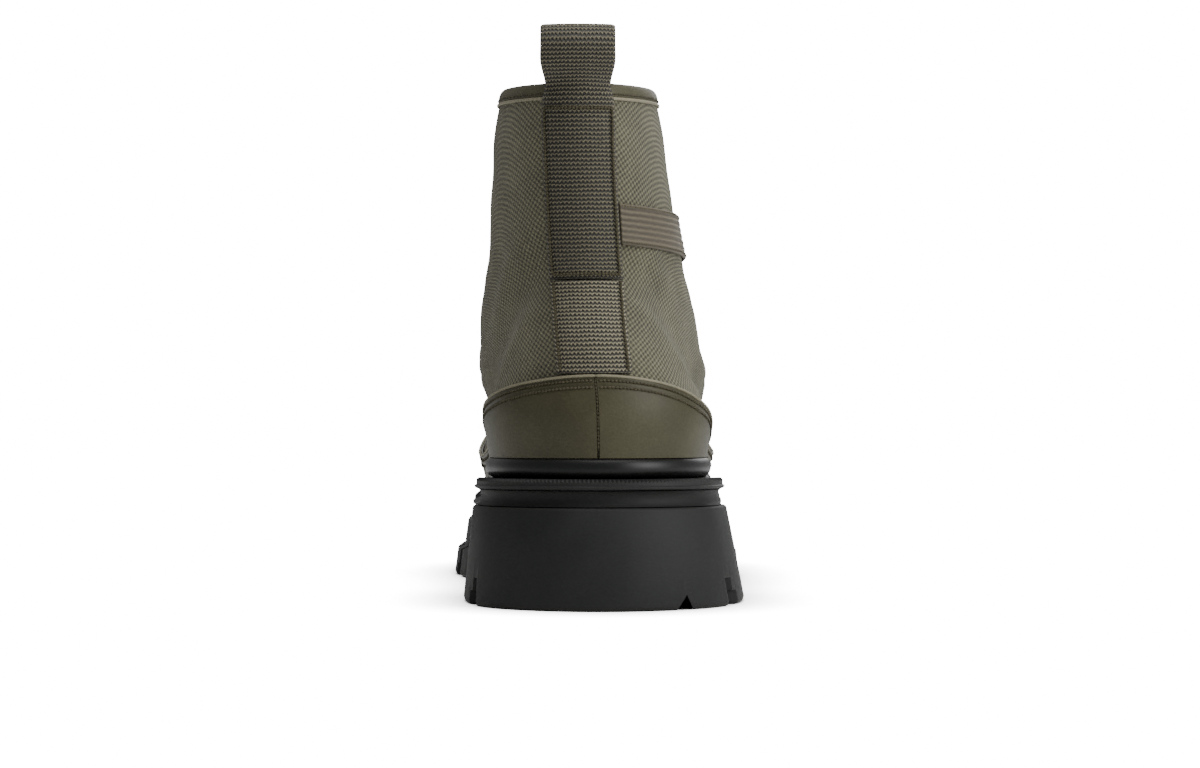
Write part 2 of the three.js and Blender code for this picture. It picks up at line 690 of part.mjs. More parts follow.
function backstay() {
  const low = rowAtBack(upperPoint(FOXING_TOP[0].lateral, 0).z + 2 * SEAT_GAP);
  const high = rowAtBack(collarBack - WEBBING_JOINT_DROP - SEAT_GAP);
  return overlay(5, STRAP_COLUMNS, (up, round) => {
    const row = mix(low, high, up);
    return [row, strapTurn(row, 2 * round - 1)];
  }, SKIN_GAP, SKIN_GAP + WEBBING_THICKNESS);
}

// Pull loop: up the back, over the collar binding and down inside the wall
function pullLoop() {
  const low = rowAtBack(collarBack - WEBBING_JOINT_DROP + SEAT_GAP);
  const outerRows = [0, 0.25, 0.5, 0.75, 0.97].map((part) => mix(low, COLLAR_ROW, part));
  const innerEnd = rowAtBack(upperPoint(COLLAR_ROW, 0).z - LOOP_INSIDE);
  const innerRows = [0.97, 0.5, 0].map((part) => mix(innerEnd, COLLAR_ROW, part));
  const collar = upperPoint(COLLAR_ROW, 0);
  const outside = collar.y - SKIN_GAP;
  const inside = collar.y + WALL + SKIN_GAP + BINDING_THICKNESS * 0.5;
  const bindingTop = collar.z + BINDING_HEIGHT;
  const crown = (outside - LOOP_REACH + inside) / 2;
  const bendRadius = (inside - outside + LOOP_REACH) / 2;
  const archLow = collar.z + LOOP_RISE - bendRadius - WEBBING_THICKNESS;
  const arch = [
    { y: outside - SEAT_GAP, z: bindingTop, out: [-1, 0], curve: 1 },
    { y: outside - LOOP_REACH * 0.75, z: mix(bindingTop, archLow, 0.55), out: [-1, 0], curve: 0.4 },
  ];
  for (let bend = 0; bend <= LOOP_BENDS; bend += 1) {
    const angle = Math.PI * bend / LOOP_BENDS;
    const out = [-Math.cos(angle), Math.sin(angle)];
    arch.push({ y: crown + bendRadius * out[0], z: archLow + bendRadius * out[1], out, curve: 0.4 });
  }
  arch.push({ y: inside + SEAT_GAP, z: mix(bindingTop, archLow, 0.3), out: [1, 0], curve: 1 });
  const rows = outerRows.length + arch.length + innerRows.length;
  return wallSolid(rows, STRAP_COLUMNS, (row, column, side) => {
    const across = 2 * column / (STRAP_COLUMNS - 1) - 1;
    if (row < outerRows.length) {
      const place = outerRows[row];
      const height = SKIN_GAP + (side === 0 ? WEBBING_THICKNESS : 0);
      return upperSkin(place, strapTurn(place, across), height);
    }
    if (row >= outerRows.length + arch.length) {
      const place = innerRows[row - outerRows.length - arch.length];
      const height = WALL + BINDING_THICKNESS * 0.5 + SKIN_GAP + (side === 0 ? WEBBING_THICKNESS : 0);
      return upperSkin(place, strapTurn(place, across), -height);
    }
    const station = arch[row - outerRows.length];
    const edge = upperPoint(COLLAR_ROW, strapTurn(COLLAR_ROW, across));
    const bow = (edge.y - collar.y) * station.curve;
    const lift = side === 0 ? WEBBING_THICKNESS : 0;
    const x = mix(edge.x, collar.x + WEBBING_WIDTH / 2 * across, 1 - station.curve);
    return new THREE.Vector3(x, station.y + bow + station.out[0] * lift, station.z + station.out[1] * lift);
  });
}

// Eyestays: along the throat, on each side
function eyestayTurn(row, distance) {
  return turnAfter(row, 1, -throatHalf(row) - distance);
}

function eyestay(side) {
  const rows = [6.15, 6.6, 7, 7.5, 8, 8.5, 9, 9.5, 10, 11, 12, 12.97];
  const columns = 5;
  return overlay(rows.length, columns, (up, round, row) => {
    const place = rows[row];
    return [place, side * eyestayTurn(place, EYESTAY_WIDTH * round)];
  }, SKIN_GAP, SKIN_GAP + EYESTAY_THICKNESS);
}

// Side tape: level band on the lateral side, from the webbing to the eyestay
function sideTape() {
  const columns = 14;
  return overlay(3, columns, (up, round) => {
    const level = collarBack - TAPE_DROP - TAPE_FALL * round + TAPE_WIDTH * (up - 0.5);
    const row = rowAtBack(level);
    const start = turnAfter(row, 0, WEBBING_WIDTH / 2 + 2 * SEAT_GAP);
    const end = eyestayTurn(row, EYESTAY_WIDTH + 3 * SEAT_GAP);
    return [row, mix(start, end, round)];
  }, SKIN_GAP, SKIN_GAP + TAPE_THICKNESS);
}

// Collar binding: a rolled edge on the wall's top, from one side of the throat to the other
const BINDING_SECTION = [
  { across: 0, up: 0 },
  { across: 0, up: 0.65 },
  { across: 0.22, up: 0.93 },
  { across: 0.5, up: 1 },
  { across: 0.78, up: 0.93 },
  { across: 1, up: 0.65 },
  { across: 1, up: 0 },
];

function collarBinding() {
  const stations = 2 * SIDE_COLUMNS + 1;
  const edge = throatEdge(COLLAR_ROW) - 0.004;
  return barSolid(BINDING_SECTION.length, stations, (corner, station) => {
    const { across, up } = BINDING_SECTION[corner];
    const turn = (station / SIDE_COLUMNS - 1) * edge;
    const point = upperPoint(COLLAR_ROW, turn);
    point.addScaledVector(levelNormal(COLLAR_ROW, turn), -BINDING_INSET - across * BINDING_THICKNESS);
    point.z += SEAT_GAP + up * BINDING_HEIGHT;
    return point;
  }, false);
}

// Tongue: a padded leaf under the throat, which rises over the collar
const tongueDepth = WALL + SKIN_GAP + SEAT_GAP + BINDING_INSET;

function tongue() {
  const rows = [5.3, 6, 7, 8, 9, 10, 11, 12, 13, 14];
  const columns = 9;
  return wallSolid(rows.length, columns, (rowIndex, column, side) => {
    const row = Math.min(rows[rowIndex], COLLAR_ROW);
    const beyond = rows[rowIndex] - row;
    const part = 2 * column / (columns - 1) - 1;
    const narrow = rows[rowIndex] < THROAT_ROW ? 0.62 : Math.min(0.72 + 0.07 * (row - THROAT_ROW), 1);
    const turn = turnAfter(row, 1, part * narrow * TONGUE_WIDTH / 2);
    const depth = tongueDepth + side * TONGUE_THICKNESS;
    const normal = row === COLLAR_ROW ? levelNormal(row, turn) : upperNormal(row, turn);
    const point = upperPoint(row, turn).addScaledVector(normal, -depth);
    point.z += beyond * (TONGUE_RISE + BINDING_HEIGHT - TONGUE_TIP_ROUNDING * part * part);
    return point;
  });
}

// Eyelets: evenly spaced along the eyestay
function eyeletPlaces() {
  const [first, last] = [6.75, 12.62];
  const steps = 120;
  const path = [];
  let length = 0;
  let before = null;
  for (let step = 0; step <= steps; step += 1) {
    const row = mix(first, last, step / steps);
    const point = upperPoint(row, eyestayTurn(row, EYELET_INSET));
    length += before ? point.distanceTo(before) : 0;
    path.push({ row, length });
    before = point;
  }
  const places = [];
  for (let count = 0; count < EYELET_COUNT; count += 1) {
    const wanted = length * count / (EYELET_COUNT - 1);
    places.push(path.find((entry) => entry.length >= wanted - 1e-6).row);
  }
  return places;
}
const eyeletRows = eyeletPlaces();

function standingOn(geometry, row, turn) {
  const facing = new THREE.Quaternion().setFromUnitVectors(new THREE.Vector3(0, 0, 1), upperNormal(row, turn));
  geometry.applyQuaternion(facing);
  const foot = upperPoint(row, turn);
  return geometry.translate(foot.x, foot.y, foot.z);
}

const EYELET_SIDES = 8;
const eyeletSeat = SKIN_GAP + EYESTAY_THICKNESS + EYELET_LIFT;

function eyelet(row, turn) {
  const barrel = EYELET_BORE + EYELET_WALL;
  const deep = -WALL;
  const profile = [
    [EYELET_BORE, deep], [barrel, deep], [barrel, eyeletSeat], [EYELET_RADIUS, eyeletSeat],
    [EYELET_RADIUS * 0.85, eyeletSeat + EYELET_FLANGE], [EYELET_BORE, eyeletSeat + EYELET_FLANGE],
    [EYELET_BORE, deep],
  ].map(([radius, height]) => new THREE.Vector2(radius, height));
  const ring = new THREE.LatheGeometry(profile, EYELET_SIDES);
  ring.rotateX(Math.PI / 2);
  return standingOn(ring, row, turn);
}

function eyeletHole(row, turn) {
  const radius = EYELET_BORE + EYELET_WALL + 2 * SEAT_GAP;
  const hole = new THREE.CylinderGeometry(radius, radius, 4 * WALL, EYELET_SIDES);
  hole.rotateX(Math.PI / 2);
  return standingOn(hole, row, turn);
}

// Lace: it runs over the eyestay from an eyelet, then crosses the tongue and goes in under the other side.
// A lace's place is a row and a distance from the throat's middle, to the medial side where it is negative.
const laceHigh = eyeletSeat + EYELET_FLANGE + 2 * SEAT_GAP + LACE_RADIUS;
const laceLow = LACE_RADIUS + 2 * SEAT_GAP - tongueDepth;
const LACE_SIDES = 8;
const LACE_STEPS = 7;
const LACE_DIP = 2.6;

function laceRun(start, end, heightAt) {
  const points = [];
  for (let step = 0; step <= LACE_STEPS; step += 1) {
    const part = step / LACE_STEPS;
    const row = mix(start.row, end.row, part);
    const distance = mix(start.distance, end.distance, part);
    points.push(upperSkin(row, turnAfter(row, 1, distance), heightAt(part)));
  }
  const section = new THREE.Shape();
  section.absarc(0, 0, LACE_RADIUS, 0, 2 * Math.PI);
  return new THREE.ExtrudeGeometry(section, {
    steps: LACE_STEPS,
    curveSegments: LACE_SIDES / 2,
    extrudePath: new THREE.CatmullRomCurve3(points),
    bevelEnabled: false,
  });
}

function laceBar(row) {
  const reach = throatHalf(row) - LACE_RADIUS;
  return laceRun({ row, distance: -reach }, { row, distance: reach }, () => laceLow);
}

function laceCrossing(lowRow, highRow) {
  const entry = mix(lowRow, highRow, 0.86);
  return joinAll([1, -1].map((side) => laceRun(
    { row: lowRow, distance: -side * (throatHalf(lowRow) + EYELET_INSET) },
    { row: entry, distance: side * (throatHalf(entry) - LACE_RADIUS - 2 * SEAT_GAP) },
    (part) => mix(laceHigh, laceLow, part ** LACE_DIP),
  )));
}

// Materials, as the maker would name them
function finish(color, roughness, metalness = 0) {
  return new THREE.MeshStandardMaterial({ color, roughness, metalness });
}
const canvas = finish('#6b6858', 0.85);
const coatedFabric = finish('#55503f', 0.5);
const webbing = finish('#56503f', 0.8);
const rubber = finish('#2c2c2b', 0.6);
const beadRubber = finish('#171717', 0.45);
const footbed = finish('#3a382f', 0.9);
const brass = finish('#4b4536', 0.4, 0.8);
const laceCord = finish('#3d3a2e', 0.8);

const boot = new THREE.Group();

function place(name, geometry, material) {
  const mesh = new THREE.Mesh(geometry, material);
  mesh.name = name;
  boot.add(mesh);
}

const lateralHoles = eyeletRows.map((row) => eyeletHole(row, eyestayTurn(row, EYELET_INSET)));
const medialHoles = eyeletRows.map((row) => eyeletHole(row, -eyestayTurn(row, EYELET_INSET)));

place('outsole', outsole(), rubber);
place('midsole', midsole(), rubber);
place('welt', welt(), rubber);
place('rand', rand(), beadRubber);
place('insole', insole(), footbed);
place('upper', cutAway(upperShell(), [...lateralHoles, ...medialHoles]), canvas);
place('foxing_lateral', foxing(1), coatedFabric);
place('foxing_medial', foxing(-1), coatedFabric);
place('backstay', backstay(), webbing);
place('pull_loop', pullLoop(), webbing);
place('side_tape', sideTape(), webbing);
place('collar_binding', collarBinding(), coatedFabric);
place('tongue', tongue(), canvas);
place('eyestay_lateral', cutAway(eyestay(1), lateralHoles), coatedFabric);
place('eyestay_medial', cutAway(eyestay(-1), medialHoles), coatedFabric);
eyeletRows.forEach((row, pair) => {
  const turn = eyestayTurn(row, EYELET_INSET);
  place(`eyelet_lateral_${pair + 1}`, eyelet(row, turn), brass);
  place(`eyelet_medial_${pair + 1}`, eyelet(row, -turn), brass);
});
place('lace_bar', laceBar(eyeletRows[0]), laceCord);
for (let pair = 1; pair < EYELET_COUNT; pair += 1) {
  place(`lace_crossing_${pair}`, laceCrossing(eyeletRows[pair - 1], eyeletRows[pair]), laceCord);
}

// The origin is on the floor, under the middle of the sole's length and width
const bounds = new THREE.Box3().setFromObject(boot);
const middle = bounds.getCenter(new THREE.Vector3());
boot.position.set(-middle.x, -middle.y, -bounds.min.z);

export default boot;
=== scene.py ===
"""Right outdoor boot: canvas upper, webbing back strap, coated foxing, and a lugged rubber sole."""

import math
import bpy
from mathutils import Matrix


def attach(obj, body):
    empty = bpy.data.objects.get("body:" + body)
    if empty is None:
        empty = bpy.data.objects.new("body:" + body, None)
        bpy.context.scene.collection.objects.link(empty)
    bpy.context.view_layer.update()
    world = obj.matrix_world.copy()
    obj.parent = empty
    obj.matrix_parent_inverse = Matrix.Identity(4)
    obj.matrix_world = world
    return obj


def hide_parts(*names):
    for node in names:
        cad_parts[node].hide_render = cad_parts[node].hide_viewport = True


bl_info = {
    "name": "Outdoor Boot",
    "version": (1, 0, 0),
    "blender": (4, 5, 0),
    "location": "View3D > Sidebar > Boot",
    "description": "Dresses the boot's solids with cloth, webbing, rubber, stitching and lace",
    "category": "Add Mesh",
}

from functools import lru_cache

import bmesh
import bpy
from bpy.props import FloatProperty, IntProperty, PointerProperty, StringProperty
from mathutils import Matrix, Vector, noise

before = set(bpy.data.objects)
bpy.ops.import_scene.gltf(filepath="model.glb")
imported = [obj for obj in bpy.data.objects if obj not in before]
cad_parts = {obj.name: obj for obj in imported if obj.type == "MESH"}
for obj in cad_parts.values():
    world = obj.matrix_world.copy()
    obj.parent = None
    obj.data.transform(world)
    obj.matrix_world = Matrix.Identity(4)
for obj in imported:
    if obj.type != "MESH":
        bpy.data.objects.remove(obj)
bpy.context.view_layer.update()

MM = 0.001
PI = math.pi

# The solids' own dimensions in millimetres. The model's frame is moved by SHIFT to the row's frame.
SHIFT = (0.2584, -153.4075)
SIDE_LEDGE, HEEL_LEDGE, TOE_LEDGE = 0.7, 2, 4.4
HEEL_BLOCK, BALL_BLOCK, TOE_BLOCK = 33.7, 21.5, 29.5
TOE_SPRING, SPRING_START, SPRING_CURVE = 9, 0.74, 1.8
TOE_RISE_START, TOE_RISE_CURVE = 0.7, 1.7
SOLE_FLARE, BLOCK_STEP, BLOCK_STEP_FRONT = 6.5, 0.5, 1.3
EDGE_CHAMFER, LUG_STEP, LUG_STEP_HEIGHT = 1.5, 2.4, 17
LUG_DEPTH, GROOVE_WIDTH, SIDE_SLOT_DEPTH = 5, 6, 6
ARCH_HEIGHT, ARCH_START, ARCH_END = 9, 0.3, 0.44
NOTCH_WIDTH, NOTCH_HEIGHT, NOTCH_OFFSET = 6.5, 5, 28.5
MIDSOLE_HEIGHT, MIDSOLE_INSET, WELT_HEIGHT, WELT_RIDGE = 5.2, 2.4, 3.6, 0.7
RAND_HEIGHT, RAND_DEPTH = 6.4, 3.3
UPPER_LENGTH, UPPER_BALL_WIDTH, UPPER_HEIGHT, WALL = 287, 90, 126.4, 2.6
INSOLE_THICKNESS, FOXING_THICKNESS, EYESTAY_THICKNESS = 4, 1.2, 1.4
TAPE_THICKNESS, TAPE_WIDTH, TAPE_DROP, TAPE_FALL = 1.0, 13.6, 42, 5
WEBBING_WIDTH, WEBBING_THICKNESS, WEBBING_JOINT_DROP = 24.6, 1.6, 61
LOOP_RISE, LOOP_REACH, LOOP_INSIDE = 23.6, 7, 30
BINDING_HEIGHT, BINDING_THICKNESS, BINDING_INSET = 4, 2.5, 0.9
THROAT_WIDTH, EYESTAY_WIDTH = 28, 21
EYELET_COUNT, EYELET_INSET, EYELET_RADIUS, EYELET_BORE = 6, 8.5, 4.4, 2.4
EYELET_WALL, EYELET_FLANGE, EYELET_LIFT = 0.5, 0.8, 0.6
TONGUE_WIDTH, TONGUE_THICKNESS, TONGUE_RISE, TONGUE_TIP_ROUNDING = 58, 3, 7, 4
LACE_RADIUS = 1.8
SEAT_GAP, SKIN_GAP = 0.3, 0.5

# Sole plan: place along, fullness medial and lateral, flare medial and lateral, lift of the top
SOLE_PLAN = (
    (0, 1.55, 1.55, 0.4, 0.4, 1),
    (0.05, 1.5, 1.5, 0.4, 0.55, 0.985),
    (0.12, 1.28, 1.3, 0.42, 0.85, 0.955),
    (0.2, 1.09, 1.12, 0.5, 0.95, 0.915),
    (0.3, 0.935, 0.98, 0.5, 0.85, 0.82),
    (0.42, 0.8, 0.91, 0.55, 0.75, 0.55),
    (0.55, 0.88, 0.97, 0.85, 0.85, 0.2),
    (0.65, 1.02, 1.035, 1, 1, 0),
    (0.74, 1.135, 1.09, 1, 1, 0),
    (0.82, 1.22, 1.17, 0.95, 0.95, 0),
    (0.9, 1.3, 1.23, 0.8, 0.8, 0),
    (0.96, 1.38, 1.29, 0.55, 0.55, 0),
    (1, 1.45, 1.33, 0.4, 0.4, 0),
)
# Upper plan: place along, fullness of the foot medial and lateral, and of the shaft
UPPER_PLAN = (
    (0, 1.42, 1.42, 0.94),
    (0.05, 1.37, 1.37, 0.95),
    (0.12, 1.2, 1.2, 0.97),
    (0.2, 1.045, 1.05, 0.985),
    (0.3, 0.92, 0.935, 1),
    (0.42, 0.845, 0.885, 1),
    (0.55, 0.9, 0.95, 1),
    (0.65, 1.01, 1.01, 1),
    (0.74, 1.12, 1.06, 1),
    (0.82, 1.2, 1.13, 1),
    (0.9, 1.27, 1.2, 1.01),
    (0.96, 1.33, 1.24, 1.02),
    (1, 1.38, 1.28, 1.03),
)
# Upper sections: row, rise at back and front, back, front, width, lean, foot, sole
UPPER_SECTIONS = (
    (0, 0.0, 0.0, 0.0084, 0.997, 0.935, 0, 1, 1),
    (1, 0.051, 0.051, 0.007, 1.002, 0.955, 0, 1, 1),
    (2, 0.145, 0.132, 0, 0.995, 1, -0.002, 1, 0.92),
    (3, 0.208, 0.195, 0.0021, 0.964, 0.985, -0.006, 1, 0.8),
    (4, 0.268, 0.242, 0.0087, 0.904, 0.972, -0.014, 0.6, 0.6),
    (5, 0.327, 0.29, 0.0112, 0.817, 0.958, -0.022, 0.36, 0.4),
    (6, 0.383, 0.344, 0.0174, 0.727, 0.912, -0.03, 0.2, 0.22),
    (7, 0.446, 0.415, 0.0293, 0.64, 0.868, -0.037, 0.08, 0.1),
    (8, 0.505, 0.502, 0.039, 0.563, 0.824, -0.042, 0, 0),
    (9, 0.573, 0.605, 0.0432, 0.497, 0.773, -0.05, 0, 0),
    (10, 0.668, 0.724, 0.0411, 0.445, 0.722, -0.058, 0, 0),
    (11, 0.778, 0.842, 0.0355, 0.413, 0.693, -0.067, 0, 0),
    (12, 0.889, 0.953, 0.0279, 0.399, 0.665, -0.073, 0, 0),
    (13, 1, 1.064, 0.0223, 0.399, 0.607, -0.076, 0, 0),
)
RAND_ROW, THROAT_ROW, COLLAR_ROW = 1, 6, 13
# Top edge of the foxing: place along, row on the medial and on the lateral side
FOXING_TOP = (
    (0, 3.98, 3.98),
    (0.03, 3.72, 3.66),
    (0.09, 3.3, 3.0),
    (0.2, 2.7, 2.2),
    (0.34, 2.05, 1.85),
    (0.55, 1.8, 1.8),
    (0.74, 2.0, 2.0),
    (0.88, 2.8, 2.75),
    (1, 3.5, 3.5),
)
# Throat: row and half width as a share of THROAT_WIDTH
THROAT_SHAPE = ((6, 0), (6.12, 0.2), (6.4, 0.32), (7, 0.4), (8, 0.44), (10, 0.48), (13, 0.5))


def look_up(table, column, place):
    """Smooth value of one column of a table at a place in its first column."""
    last = len(table) - 1
    at = min(max(place, table[0][0]), table[last][0])
    row = 0
    while row < last - 1 and at > table[row + 1][0]:
        row += 1
    here, after = table[row], table[row + 1]
    before, beyond = table[max(row - 1, 0)], table[min(row + 2, last)]
    span = after[0] - here[0]
    slope_here = (after[column] - before[column]) / (after[0] - before[0]) * span
    slope_after = (beyond[column] - here[column]) / (beyond[0] - here[0]) * span
    part = (at - here[0]) / span
    square, cube = part * part, part * part * part
    return (
        (2 * cube - 3 * square + 1) * here[column]
        + (cube - 2 * square + part) * slope_here
        + (3 * square - 2 * cube) * after[column]
        + (cube - square) * slope_after
    )


def mix(low, high, part):
    return low + (high - low) * part


def ease(value):
    """0 below 0, 1 above 1, and smooth between."""
    held = min(max(value, 0.0), 1.0)
    return held * held * (3 - 2 * held)


def bump_of(distance, width):
    """A soft hill: 1 at distance 0, and 0 from width on."""
    return 1 - ease(abs(distance) / width)


def along_of(turn):
    """A place round the foot is a turn: 0 at the back, 1 at the toe, negative on the medial side."""
    return (1 - math.cos(PI * turn)) / 2


def block_top(along):
    toe = max((along - TOE_RISE_START) / (1 - TOE_RISE_START), 0) ** TOE_RISE_CURVE
    lift = look_up(SOLE_PLAN, 5, along)
    return BALL_BLOCK + (HEEL_BLOCK - BALL_BLOCK) * lift + (TOE_BLOCK - BALL_BLOCK) * toe


def ground_line(along):
    return TOE_SPRING * max((along - SPRING_START) / (1 - SPRING_START), 0) ** SPRING_CURVE


MIDSOLE_BOTTOM = SEAT_GAP
MIDSOLE_TOP = MIDSOLE_BOTTOM + MIDSOLE_HEIGHT
WELT_BOTTOM = MIDSOLE_TOP + SEAT_GAP
WELT_TOP = WELT_BOTTOM + WELT_HEIGHT
UPPER_BOTTOM = WELT_TOP + SEAT_GAP
SOLE_LENGTH = UPPER_LENGTH + HEEL_LEDGE + TOE_LEDGE + 2 * RAND_DEPTH
SOLE_BALL_WIDTH = UPPER_BALL_WIDTH + 2 * (SIDE_LEDGE + RAND_DEPTH)
SOLE_START = SOLE_FLARE * SOLE_PLAN[0][3] + BLOCK_STEP
UPPER_BACK = SOLE_START + HEEL_LEDGE + RAND_DEPTH
COLLAR_BACK = block_top(0) + UPPER_BOTTOM + UPPER_HEIGHT
SLOPE_STEP = 0.004


def sole_edge(turn, outset):
    """Edge of the welt seen from above, moved out by outset."""

    def plan(place):
        along = along_of(place)
        full = look_up(SOLE_PLAN, 1 if place < 0 else 2, along)
        return SOLE_BALL_WIDTH / 2 * full * math.sin(PI * place), SOLE_START + SOLE_LENGTH * along

    x, y = plan(turn)
    x0, y0 = plan(turn - SLOPE_STEP)
    x1, y1 = plan(turn + SLOPE_STEP)
    length = math.hypot(x1 - x0, y1 - y0)
    return x + outset * (y1 - y0) / length, y - outset * (x1 - x0) / length


@lru_cache(maxsize=None)
def section_of(row):
    return tuple(look_up(UPPER_SECTIONS, column, row) for column in range(1, 9))


@lru_cache(maxsize=None)
def plan_of(turn):
    """Place along, plan of the foot and of the shaft, sine, straight sole line, and its rise over that."""
    along = along_of(turn)
    folded = -turn if abs(turn) > 1 else turn
    foot = look_up(UPPER_PLAN, 1 if folded < 0 else 2, along)
    level = mix(block_top(0), block_top(1), along)
    shaft = look_up(UPPER_PLAN, 3, along)
    return along, foot, shaft, math.sin(PI * turn), level, block_top(along) - level


def upper_point(row, turn):
    """The upper's own surface: a section row, and a turn round it."""
    held = min(max(row, 0), COLLAR_ROW)
    rise_back, rise_front, back, front, width, lean, foot_share, sole_share = section_of(held)
    along, foot, shaft, sine, level, sole_rise = plan_of(turn)
    x = UPPER_BALL_WIDTH * (lean + width / 2 * mix(shaft, foot, foot_share) * sine)
    y = UPPER_BACK + UPPER_LENGTH * mix(back, front, along)
    rise = UPPER_HEIGHT * mix(rise_back, rise_front, along)
    return Vector((x, y, level + UPPER_BOTTOM + rise + sole_share * sole_rise))


def upper_normal(row, turn):
    row_low, row_high = max(row - 0.02, 0), min(row + 0.02, COLLAR_ROW)
    up = upper_point(row_high, turn) - upper_point(row_low, turn)
    around = upper_point(row, turn + SLOPE_STEP) - upper_point(row, turn - SLOPE_STEP)
    return around.cross(up).normalized()


def level_normal(row, turn):
    normal = upper_normal(row, turn)
    normal.z = 0
    return normal.normalized()


@lru_cache(maxsize=None)
def turn_after(row, start, distance):
    """The turn that lies a distance round one section from another turn."""
    step = math.copysign(SLOPE_STEP, distance)
    wanted = abs(distance)
    turn, gone = start, 0.0
    last = upper_point(row, turn)
    while gone < wanted:
        following = upper_point(row, turn + step)
        stride = (following - last).length
        turn += step * min((wanted - gone) / stride, 1)
        gone += stride
        last = following
    return turn


def row_at_back(level):
    low, high = 0.0, float(COLLAR_ROW)
    for _ in range(30):
        middle = (low + high) / 2
        if upper_point(middle, 0).z < level:
            low = middle
        else:
            high = middle
    return low


def throat_half(row):
    return THROAT_WIDTH * look_up(THROAT_SHAPE, 1, row)


def throat_edge(row):
    return 1.0 if row <= THROAT_ROW else turn_after(row, 1, -throat_half(row))


def eyestay_turn(row, distance):
    return turn_after(row, 1, -throat_half(row) - distance)


def foxing_row(turn):
    return look_up(FOXING_TOP, 1 if turn < 0 else 2, along_of(turn))


def upper_skin(row, turn, height):
    return upper_point(row, turn) + upper_normal(row, turn) * height


def strap_turn(row, across):
    return turn_after(row, 0, WEBBING_WIDTH / 2 * across)


def spread(low, high, count):
    """count values from low to high, both ends among them."""
    return [low + (high - low) * step / (count - 1) for step in range(count)]


# Mesh making


def swept(name, rounds, places, point, uv=None, closed=True, ends=False, laddered=None, inner=None, merge=2e-6):
    """A grid of rounds by places bent to its shape, with doubles merged.
    point(round, place) is in the model's millimetres, uv in millimetres on the cloth. closed joins
    the last place to the first, and ends closes both ends by a ladder between opposite places, where
    laddered says so. Faces whose places are all inner take the second material."""
    bm = bmesh.new()
    uv_layer = bm.loops.layers.uv.new("UVMap")
    loop_places = list(places) + ([places[0]] if closed else [])
    last, top = len(rounds) - 1, len(loop_places) - 1
    bmesh.ops.create_grid(bm, x_segments=last, y_segments=top, size=0.5)
    cell = {vert: (round((vert.co.x + 0.5) * last), round((vert.co.y + 0.5) * top)) for vert in bm.verts}
    at = {key: vert for vert, key in cell.items()}
    for face in bm.faces:
        for loop in face.loops:
            i, j = cell[loop.vert]
            if uv:
                loop[uv_layer].uv = uv(rounds[i], loop_places[j])
        if inner and all(inner(loop_places[cell[vert][1]]) for vert in face.verts):
            face.material_index = 1
    for vert, (i, j) in cell.items():
        vert.co = to_frame(point(rounds[i], loop_places[j]))
    if ends:
        count = len(places)
        for i in (0, last):
            for j in range(count // 2 - 1):
                if laddered and not (laddered(places[j]) and laddered(places[j + 1])):
                    continue
                ladder = [at[i, j], at[i, j + 1], at[i, count - 2 - j], at[i, count - 1 - j]]
                bm.faces.new(ladder)
    bmesh.ops.remove_doubles(bm, verts=bm.verts, dist=merge)
    bmesh.ops.dissolve_degenerate(bm, edges=bm.edges, dist=1e-7)
    if ends:
        bmesh.ops.holes_fill(bm, edges=[edge for edge in bm.edges if edge.is_boundary], sides=8)
    bmesh.ops.recalc_face_normals(bm, faces=bm.faces)
    return piece_from(name, bm)


def to_frame(point):
    """From the model's millimetres to the row's metres."""
    return Vector(((point[0] + SHIFT[0]) * MM, (point[1] + SHIFT[1]) * MM, point[2] * MM))


def piece_from(name, bm, smooth=True):
    mesh = bpy.data.meshes.new(name)
    for face in bm.faces:
        face.smooth = smooth
    bm.to_mesh(mesh)
    bm.free()
    piece = bpy.data.objects.new(name, mesh)
    bpy.context.scene.collection.objects.link(piece)
    return piece


def sharpen(piece, degrees):
    """Smooth shading that breaks at edges sharper than this."""
    piece.data.set_sharp_from_angle(angle=math.radians(degrees))


def settle(piece):
    """Applies the piece's modifiers to its mesh."""
    graph = bpy.context.evaluated_depsgraph_get()
    made = bpy.data.meshes.new_from_object(piece.evaluated_get(graph), depsgraph=graph)
    piece.modifiers.clear()
    piece.data = made


def cut(piece, cutters, solver="EXACT"):
    """Takes the cutters out of the piece, and deletes them."""
    for cutter in cutters:
        modifier = piece.modifiers.new("Cut", "BOOLEAN")
        modifier.operation, modifier.solver, modifier.object = "DIFFERENCE", solver, cutter
    bpy.context.view_layer.update()
    settle(piece)
    for cutter in cutters:
        bpy.data.objects.remove(cutter)


def finish_piece(piece, materials, nodes=()):
    """Gives a piece its materials, its body and the nodes that it stands for."""
    piece.data.materials.clear()
    for material in materials:
        piece.data.materials.append(material)
    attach(piece, "root")
    if nodes:
        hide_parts(*nodes)
    return piece


# Materials


def linear(hex_colour):
    """sRGB hex to Blender's linear colour."""
    parts = [int(hex_colour[i : i + 2], 16) / 255 for i in (1, 3, 5)]
    return [p / 12.92 if p <= 0.04045 else ((p + 0.055) / 1.055) ** 2.4 for p in parts] + [1]


def new_material(name):
    """A material with one principled shader; returns its nodes' adder and the shader."""
    material = bpy.data.materials.new(name)
    material.use_nodes = True
    tree = material.node_tree
    tree.nodes.clear()

    def add(kind, links=None, **settings):
        node = tree.nodes.new(kind)
        for key, value in settings.items():
            if key.startswith("in_"):
                socket = node.inputs[int(key[3:])] if key[3:].isdigit() else node.inputs[key[3:].replace("_", " ")]
                socket.default_value = value
            else:
                setattr(node, key, value)
        for target, source in (links or {}).items():
            tree.links.new(source, node.inputs[target])
        return node

    shader = add("ShaderNodeBsdfPrincipled")
    output = add("ShaderNodeOutputMaterial")
    tree.links.new(shader.outputs[0], output.inputs[0])
    return material, add, shader, tree


